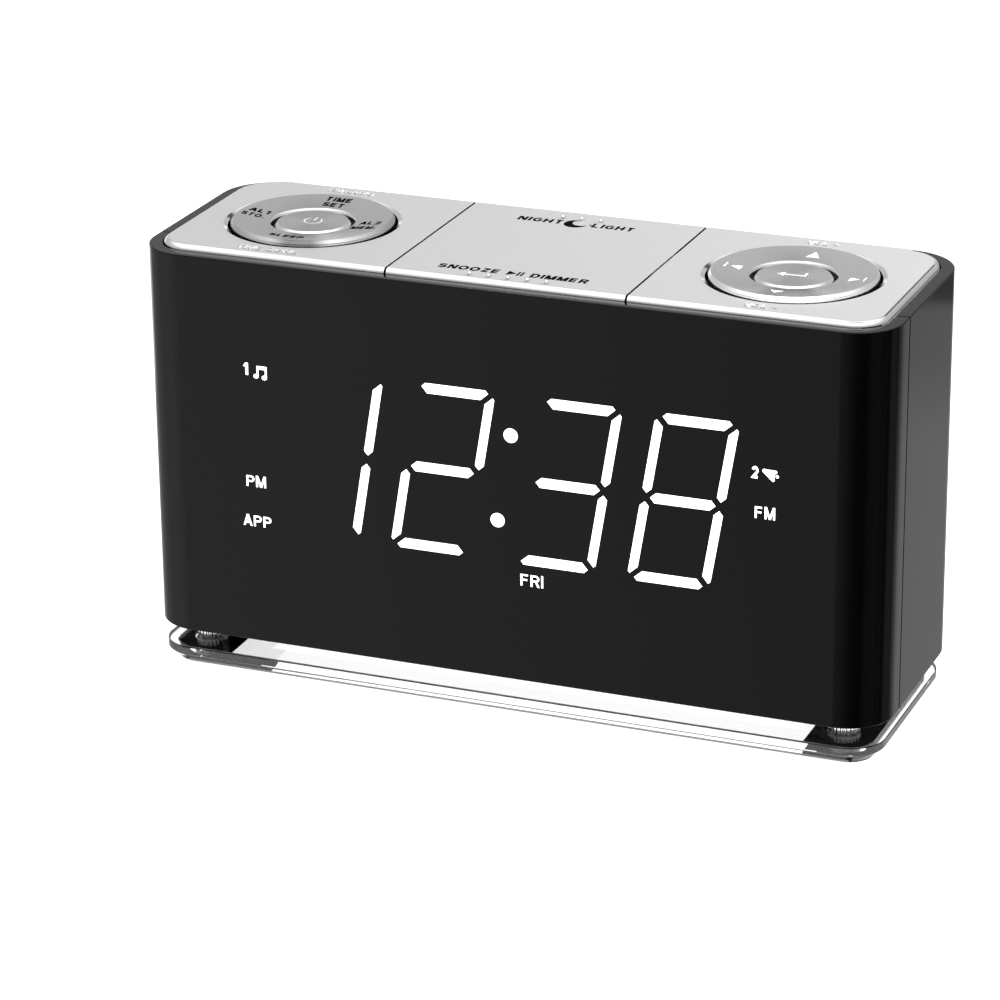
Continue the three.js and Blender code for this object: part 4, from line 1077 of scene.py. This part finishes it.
def bar_outlines():
    """The seven bars of a figure, a to g, mitred at the corners, before the slant."""
    half_level, half_upright = LEVEL / 2, UPRIGHT / 2
    tip_level, tip_upright = 0.45, 0.65  # how far a tip lies from its bar's middle line, towards the outside
    top = [
        (-SPAN + PART - tip_level, RISE + tip_level),
        (-SPAN + PART - tip_level + (half_level - tip_level), RISE + half_level),
        (SPAN - PART + tip_level - (half_level - tip_level), RISE + half_level),
        (SPAN - PART + tip_level, RISE + tip_level),
        (SPAN - PART - half_level, RISE - half_level),
        (-SPAN + PART + half_level, RISE - half_level),
    ]
    middle = [
        (-SPAN + PART, 0), (-SPAN + PART + half_level, half_level), (SPAN - PART - half_level, half_level),
        (SPAN - PART, 0), (SPAN - PART - half_level, -half_level), (-SPAN + PART + half_level, -half_level),
    ]
    upper_right = [
        (SPAN, PART), (SPAN + half_upright, PART + half_upright),
        (SPAN + half_upright, RISE - PART + tip_upright - (half_upright - tip_upright)),
        (SPAN + tip_upright, RISE - PART + tip_upright),
        (SPAN - half_upright, RISE - PART - half_upright), (SPAN - half_upright, PART + half_upright),
    ]

    def flipped(outline, across, over):
        return [(u * across, v * over) for u, v in outline]

    return {
        "a": top, "b": upper_right, "c": flipped(upper_right, 1, -1), "d": flipped(top, 1, -1),
        "e": flipped(upper_right, -1, -1), "f": flipped(upper_right, -1, 1), "g": middle,
    }


def make_display():
    bars = bar_outlines()
    for figure, (x, lit) in FIGURES.items():
        for key in lit:
            bar = shapes([(u + SLANT * v, v) for u, v in bars[key]])
            mark(f"lit_{figure}_{key}", bar, on_front(x, DISPLAY_Z), LIT, "cabinet", "lit_white")
    for name, x, z in (("upper", 3.04, 65.93), ("lower", -0.68, 42.92)):
        dot = shapes(arc(0, 0, 1.9, 0, 350, 35))
        mark(f"lit_colon_{name}", dot, on_front(x, BODY_BOTTOM + z), LIT, "cabinet", "lit_white")

    note = shapes(
        arc(-1.15, -1.15, 0.72, 0, 342, 19, 0.85),
        arc(1.15, -1.35, 0.72, 0, 342, 19, 0.85),
        [(-0.95, -1.1), (-0.43, -1.1), (-0.43, 1.2), (-0.95, 1.2)],
        [(1.35, -1.3), (1.87, -1.3), (1.87, 1.2), (1.35, 1.2)],
        [(-0.95, 0.75), (1.87, 0.75), (1.87, 1.65), (-0.95, 1.65)],
    )
    bell = shapes(
        arc(-1.5, 0.9, 0.5, 60, 230, 10) + arc(0.75, -1.25, 0.42, 230, 350, 8)
        + [(1.1, -0.55), (1.05, -0.1), (1.25, 0.25)] + arc(1.35, 0.85, 0.42, -60, 80, 8),
        arc(1.8, -0.25, 0.42, 0, 340, 17),
    )
    lamps = [
        ("lamp_one", lettering("1", 1.5, 3.25), -69.2, 74.75),
        ("lamp_note", note, -65.2, 74.2),
        ("lamp_pm", lettering("PM", 5.5, 3.1, 1.2), -67.3, 44.4),
        ("lamp_app", lettering("APP", 7.9, 3.1, 1.2), -67.3, 33.5),
        ("lamp_two", lettering("2", 2.0, 3.2), 66.7, 64.7),
        ("lamp_bell", bell, 70.7, 64.5),
        ("lamp_fm", lettering("FM", 5.2, 3.2, 1.2), 69.5, 54.45),
        ("lamp_day", lettering("FRI", 6.1, 3.3, 1.1), 8.4, 27.8),
    ]
    for name, solid, x, z in lamps:
        mark(name, solid, on_front(x, BODY_BOTTOM + z), LIT, "cabinet", "lit_white")


# ---------------------------------------------------------------- base


PLINTH_INSET = 3
POCKET_INSET = 0.6  # wall of the plinth round the pads


def base_outline(inset):
    radius = 9.5 - inset
    return rounded_outline(
        base_low.x + inset, base_high.x - inset, base_low.y + inset, base_high.y - inset, radius, radius, 16,
    )


def pad_solid(sign, inset, z0, z1):
    """The part of the plinth's outline at one end that a rubber pad covers."""
    inner = pad_low.x - GAP + inset - POCKET_INSET
    end = block(inner, FAR, -FAR, FAR, -9, 9) if sign > 0 else block(-FAR, -inner, -FAR, FAR, -9, 9)
    return boolean(prism(base_outline(PLINTH_INSET + inset), z0, z1), [end], "INTERSECT")


def in_pocket(centre, normal):
    """True for the ceilings and walls of the pockets that the rubber pads sit in."""
    ends = pad_low.x - 1.5 < abs(centre.x) < base_high.x - 3.3
    depth = base_low.y + 3.3 < centre.y < base_high.y - 3.3
    return ends and depth and centre.z < pad_high.z + GAP + 0.02 and (normal.z < -0.3 or abs(normal.z) < 0.1)


def beside_plinth(centre):
    """True on or outside the plinth's walls."""
    inset = 3.1
    across = base_low.x + inset < centre.x < base_high.x - inset
    along = base_low.y + inset < centre.y < base_high.y - inset
    return not (across and along) or math.hypot(centre.x, centre.y) > 96


FLUTES, FLUTE_DEPTH = 26, 0.2


def fluted(post):
    """Cuts shallow flutes down the side of a post that stands at the origin."""
    for vertex in post.data.vertices:
        radius = math.hypot(vertex.co.x, vertex.co.y) / MM
        if radius > POST_RADIUS - 0.5:
            wave = 0.5 - 0.5 * math.cos(FLUTES * math.atan2(vertex.co.y, vertex.co.x))
            scale = 1 - FLUTE_DEPTH * wave / radius
            vertex.co.x, vertex.co.y = vertex.co.x * scale, vertex.co.y * scale
    return post


def on_flange(v):
    """True outside the line midway between the plinth's walls and the flange's edge."""
    midway, corner = PLINTH_INSET / 2, 7.7  # how far in that line lies, on the sides and across the corners
    x, y = base_high.x - abs(v.x), base_high.y - abs(v.y)
    return x < midway or y < midway or x + y < corner


def split_level(obj, z):
    """Splits a mesh's faces along a level, so that each side can have its own finish."""
    with editing(obj.data) as work:
        geometry = [*work.verts, *work.edges, *work.faces]
        bmesh.ops.bisect_plane(work, geom=geometry, plane_co=(0, 0, z * MM), plane_no=(0, 0, 1))


def make_base():
    step = 3.0  # height of the step between plinth and flange
    # The grey foot band is partly a sawn edge and partly painted shade where the base meets the floor.
    foot = base_low.z + 0.65  # top of the plinth's sawn edge
    chamfer, fine_edge = 0.5, 0.22
    levels = [
        (PLINTH_INSET, base_low.z), (PLINTH_INSET, foot), (PLINTH_INSET, step), (0, step), (0, base_high.z),
    ]
    plate = loft("base", [[(x, y, z) for x, y in base_outline(inset)] for inset, z in levels])
    tools = [pad_solid(sign, POCKET_INSET, base_low.z - 1, pad_high.z + GAP) for sign in (-1, 1)]
    for sign in (-1, 1):
        for y in POST_Y:
            tools.append(rod(sign * POST_X, y, 4.6, 0.1, 3.3, 64))  # the counterbore for the screw's head
            tools.append(rod(sign * POST_X, y, SCREW_BORE, 0.1, base_high.z + 1, 32))
    boolean(plate, tools)
    rounded(plate, lambda v: near(v.z, step) and on_flange(v), chamfer, 1)
    rounded(plate, lambda v: near(v.z, base_low.z) or near(v.z, step) and not on_flange(v), fine_edge, 2)
    rounded(plate, lambda v: near(v.z, base_high.z), fine_edge, 2)
    split_level(plate, foot)
    piece(shaded(plate), "clear_base", ACRYLIC, "cabinet", "clear_acrylic", "base_plate")
    plate.visible_shadow = False
    finished(plate, SHADE_AND_PAD_BLACK, in_pocket)
    # painted shade: the base's top face is tinted grey
    finished(plate, ACRYLIC_TOP_SHADE, lambda c, n: n.z > 0.99 and near(c.z, base_high.z))
    finished(plate, ACRYLIC_SIDE, lambda c, n: abs(n.z) < 0.3 and beside_plinth(c))
    # painted shade: dark lines along the base's upper edges, the step's chamfer and the grey foot band
    finished(plate, ACRYLIC_EDGE_SHADE, lambda c, n: 0.3 < abs(n.z) < 0.97 and c.z > step - 0.3)
    finished(plate, ACRYLIC_FOOT_SAWN_AND_SHADE, lambda c, n: abs(n.z) < 0.97 and c.z < foot and not in_pocket(c, n))
    finished(plate, ACRYLIC_STEP_SHADE, lambda c, n: -0.97 < n.z < -0.2 and near(c.z, step, chamfer) and on_flange(c))

    for side, sign in (("left", -1), ("right", 1)):
        pad = rounded(pad_solid(sign, 0.9, 0, pad_high.z), lambda v: True, 0.2, 2)
        piece(shaded(pad), f"rubber_pad_{side}", RUBBER, "cabinet", "pad_rubber", f"foot_pad_{side}")

    low, high = base_high.z + GAP, BODY_BOTTOM - GAP
    profile = [
        (SCREW_BORE, low), (POST_RADIUS - 0.12, low), (POST_RADIUS, low + 0.12),
        (POST_RADIUS, high - 0.12), (POST_RADIUS - 0.12, high), (SCREW_BORE, high),
    ]
    for side, sign in (("left", -1), ("right", 1)):
        for place, y in zip(("front", "back"), POST_Y):
            post = moved(fluted(turned("post", profile, 8 * FLUTES, closed=True)), sign * POST_X, y)
            node = f"post_{place}_{side}"
            piece(shaded(post, 50), f"chrome_{node}", CHROME, "cabinet", "chrome_plate", node)


# ---------------------------------------------------------------- back and underside


def make_back():
    for x, z in CASE_SCREWS:
        name = f"{'lower' if z < 50 else 'upper'}_{'left' if x < 0 else 'right'}"
        face = HALF_DEPTH - 0.3
        head = turned("head", [
            (0, face - 1), (2.8, face - 1), (2.8, face - 0.45), (2.5, face - 0.12), (1.6, face), (0, face),
        ], 48)
        moved(head, x, 0, z, FACE_BACK)
        cross = [
            block(x - 1.5, x + 1.5, face - 0.7, face + 1, z - 0.33, z + 0.33),
            block(x - 0.33, x + 0.33, face - 0.7, face + 1, z - 1.5, z + 1.5),
        ]
        boolean(head, cross)
        merged(head, back_rod(x, z, 1.5, HALF_DEPTH - WALL - 7, face - 0.9, 24))
        piece(shaded(head), f"screw_{name}", ZINC, "cabinet", "screw_steel", f"case_screw_{name}")

    x, z = BATTERY
    face = HALF_DEPTH - 0.2
    inner = HALF_DEPTH - WALL
    cover = moved(turned("cover", [
        (0, inner - 1.8), (11.5, inner - 1.8), (11.5, inner + 0.4), (13.1, inner + 0.4), (13.1, face - 0.35),
        (12.75, face), (10.4, face), (10.2, face - 0.25), (0, face - 0.25),
    ], 96), x, 0, z, FACE_BACK)
    slot = back_prism(slot_outline(x - 5.2, x + 5.2, 0.8, z), face - 1.1, face + 1)
    ribs = []
    for index in range(12):
        angle = math.radians(30 * index + 15)
        px, pz = x + 8.4 * math.cos(angle), z + 8.4 * math.sin(angle)
        ribs.append(back_rod(px, pz, 0.55, face - 0.6, face - 0.05, 16))
    boolean(cover, [slot])
    merged(cover, block(x - 14.2, x + 14.2, inner - 1.8, inner - 0.6, z - 2, z + 2), *ribs)
    piece(shaded(cover), "battery_hatch", MATT_BLACK, "battery_cover", "matt_black", "battery_cover")

    window = block(-73.7, 73.7, -13.7, -0.3, light_bottom, BODY_BOTTOM + WALL + 0.8)
    merged(window, block(-76, 76, -16, 2, BODY_BOTTOM + WALL + GAP, light_top))
    piece(shaded(window), "night_light_window", NIGHT, "cabinet", "white_plastic", "night_light_diffuser")


# ---------------------------------------------------------------- studio


FLOOR_REACH = 4000
LIGHT_RAYS = ("diffuse", "glossy", "shadow", "volume_scatter")


def staged(obj, material, *hidden_from):
    """Dresses a thing of the set, and hides it from some kinds of ray."""
    obj.data.materials.append(material)
    for kind in hidden_from:
        setattr(obj, f"visible_{kind}", False)


def white_glow(name, low, high):
    """A black surface that glows an even white."""
    look = Look(name, Base_Color=(0, 0, 0, 1), Emission_Color=(1, 1, 1, 1), Roughness=1.0)
    look.set("Emission Strength", look.spread(look.noise(0.001), low, high))
    return look.material


def make_floor():
    far = FLOOR_REACH
    floor = mesh_object("floor", [(-far, -far, 0), (far, -far, 0), (far, far, 0), (-far, far, 0)], [[0, 1, 2, 3]])
    look = Look("floor", Roughness=0.9, Emission_Color=(1, 1, 1, 1), Emission_Strength=1.0)
    look.set("Base Color", look.colour(look.noise(0.002, 2.0), (0.34, 0.34, 0.34), (0.36, 0.36, 0.36)))
    staged(floor, look.material, "glossy")


def make_backdrop():
    """A white screen behind the radio that only clear plastic sees."""
    x, y, top = 1500, 500, 900
    screen = mesh_object("backdrop", [(-x, y, 0), (x, y, 0), (x, y, top), (-x, y, top)], [[0, 1, 2, 3]])
    staged(screen, white_glow("backdrop", 1.25, 1.35), "camera", *LIGHT_RAYS)


def make_backcloth():
    """A white cloth all round the set, far off, that only the camera sees."""
    radius, top, steps = 3900, 4000, 48
    turns = [2 * math.pi * k / steps for k in range(steps)]
    cloth = loft("backcloth", [[(radius * math.cos(t), radius * math.sin(t), z) for t in turns] for z in (-1, top)])
    staged(cloth, white_glow("backcloth", 1.0, 1.02), "transmission", *LIGHT_RAYS)


def make_fill_light():
    """A soft light from behind on the right, which leaves no reflection."""
    data = bpy.data.lights.new("right_fill", "AREA")
    data.shape = "RECTANGLE"
    data.size = data.size_y = 0.3
    data.energy = 4.4
    light = link(bpy.data.objects.new("right_fill", data))
    place, target = Vector((0.35, 0.15, 0.3)), Vector((0.1, 0, 0.11))
    light.location = place
    light.rotation_euler = (target - place).to_track_quat("-Z", "Y").to_euler()
    light.visible_glossy = False


# how bright the studio is below the horizon, by degrees from straight in front towards the right
LOW_LEVELS = [
    (-180, 0.5), (-105, 0.5), (-80, 0.75), (-52, 1.3), (-35, 1.25), (-25, 1.1), (-17, 0.78), (-13, 0.48),
    (0, 0.37), (14, 0.2), (26, 0.1), (44, 0.07), (56, 0.18), (76, 0.2), (86, 0.13), (92, 0.16), (99, 0.08),
    (104, 0.1), (109, 0.3), (122, 0.25), (131, 0.18), (135, 0.42), (141, 0.45), (148, 0.6), (154, 0.7),
    (159, 0.57), (180, 0.56),
]


def make_world():
    """A studio of soft light: its level by direction, brightest overhead in front, dark off the front right."""
    world = bpy.data.worlds.new("studio")
    bpy.context.scene.world = world
    sky = Graph(world)
    x, y, z = sky.parts(sky.nodes.new("ShaderNodeTexCoord").outputs["Generated"])
    maths = sky.maths

    def eased(source, start, end, low=0.0, high=1.0):
        return sky.spread(source, low, high, start, end, "SMOOTHSTEP")

    def product(first, *others):
        for other in others:
            first = maths("MULTIPLY", first, other)
        return first

    def without(level):
        return maths("SUBTRACT", 1, level)

    turn = maths("ARCTAN2", x, maths("MULTIPLY", y, -1))
    ramp = sky.nodes.new("ShaderNodeValToRGB")
    elements = ramp.color_ramp.elements
    for angle, level in LOW_LEVELS[1:-1]:
        elements.new((angle + 180) / 360).color = (level, level, level, 1)
    for element, (_, level) in ((elements[0], LOW_LEVELS[0]), (elements[-1], LOW_LEVELS[-1])):
        element.color = (level, level, level, 1)
    sky.links.new(maths("ADD", maths("DIVIDE", turn, 2 * math.pi), 0.5), ramp.inputs["Fac"])

    overhead = maths("ADD", eased(z, 0.0, 0.3, 0.45, 0.59), eased(z, 0.42, 0.8, 0.0, 0.7))
    softbox = product(eased(x, -0.45, -0.3), eased(y, 0.1, -0.05), eased(z, 0.7, 0.85))
    high = product(maths("ADD", overhead, softbox), eased(z, 0.945, 0.975, 1.0, 0.5))
    above = eased(z, -0.3, -0.12)
    level = maths("ADD", product(ramp.outputs["Color"], without(above)), product(high, above))

    behind = eased(y, 0.45, 0.55)
    low_band = maths("SUBTRACT", eased(z, -0.345, -0.325), eased(z, 0.05, 0.25))
    glow = product(behind, eased(x, 0.0, -0.15), low_band)
    level = maths("MAXIMUM", level, maths("MULTIPLY", glow, 1.1))
    past_horizon = eased(z, -0.29, -0.22)
    horizon = product(maths("SUBTRACT", eased(z, -0.3175, -0.3125), past_horizon), 0.75)
    far_floor = product(maths("SUBTRACT", eased(z, -0.35, -0.323), past_horizon), 0.25)
    dim = without(product(behind, eased(x, 0.0, 0.15), maths("MAXIMUM", horizon, far_floor)))
    beside_middle = maths("ABSOLUTE", maths("ADD", x, 0.02))
    spot = product(eased(beside_middle, 0.12, 0.18, 1, 0), eased(z, 0.36, 0.39), eased(z, 0.47, 0.52, 1, 0), behind)
    dim = product(dim, without(product(spot, 0.85)))
    backing = sky.nodes["Background"]
    sky.links.new(product(level, dim), backing.inputs["Strength"])
    backing.inputs["Color"].default_value = (1, 1, 1, 1)


def make_camera():
    azimuth, elevation, roll, distance = 0.385, 0.370, -0.010, 1040.84
    target = Vector((-13.755, 0, 45.29))
    back = Vector((
        math.sin(azimuth) * math.cos(elevation), -math.cos(azimuth) * math.cos(elevation), math.sin(elevation),
    ))
    right = Vector((math.cos(azimuth), math.sin(azimuth), 0))
    up = back.cross(right)
    across = right * math.cos(roll) + up * math.sin(roll)
    upright = up * math.cos(roll) - right * math.sin(roll)
    data = bpy.data.cameras.new("camera")
    data.sensor_width = 36
    data.lens = 144.319
    camera = link(bpy.data.objects.new("camera", data))
    axes = Matrix((across, upright, back)).transposed()
    camera.matrix_world = Matrix.Translation((target + back * distance) * MM) @ axes.to_4x4()
    bpy.context.scene.camera = camera


make_cabinet()
make_deck()
make_dials()
make_legends()
make_display()
make_base()
make_back()
make_floor()
make_backdrop()
make_backcloth()
make_world()
make_camera()
make_fill_light()
bpy.context.scene.view_settings.view_transform = "Standard"
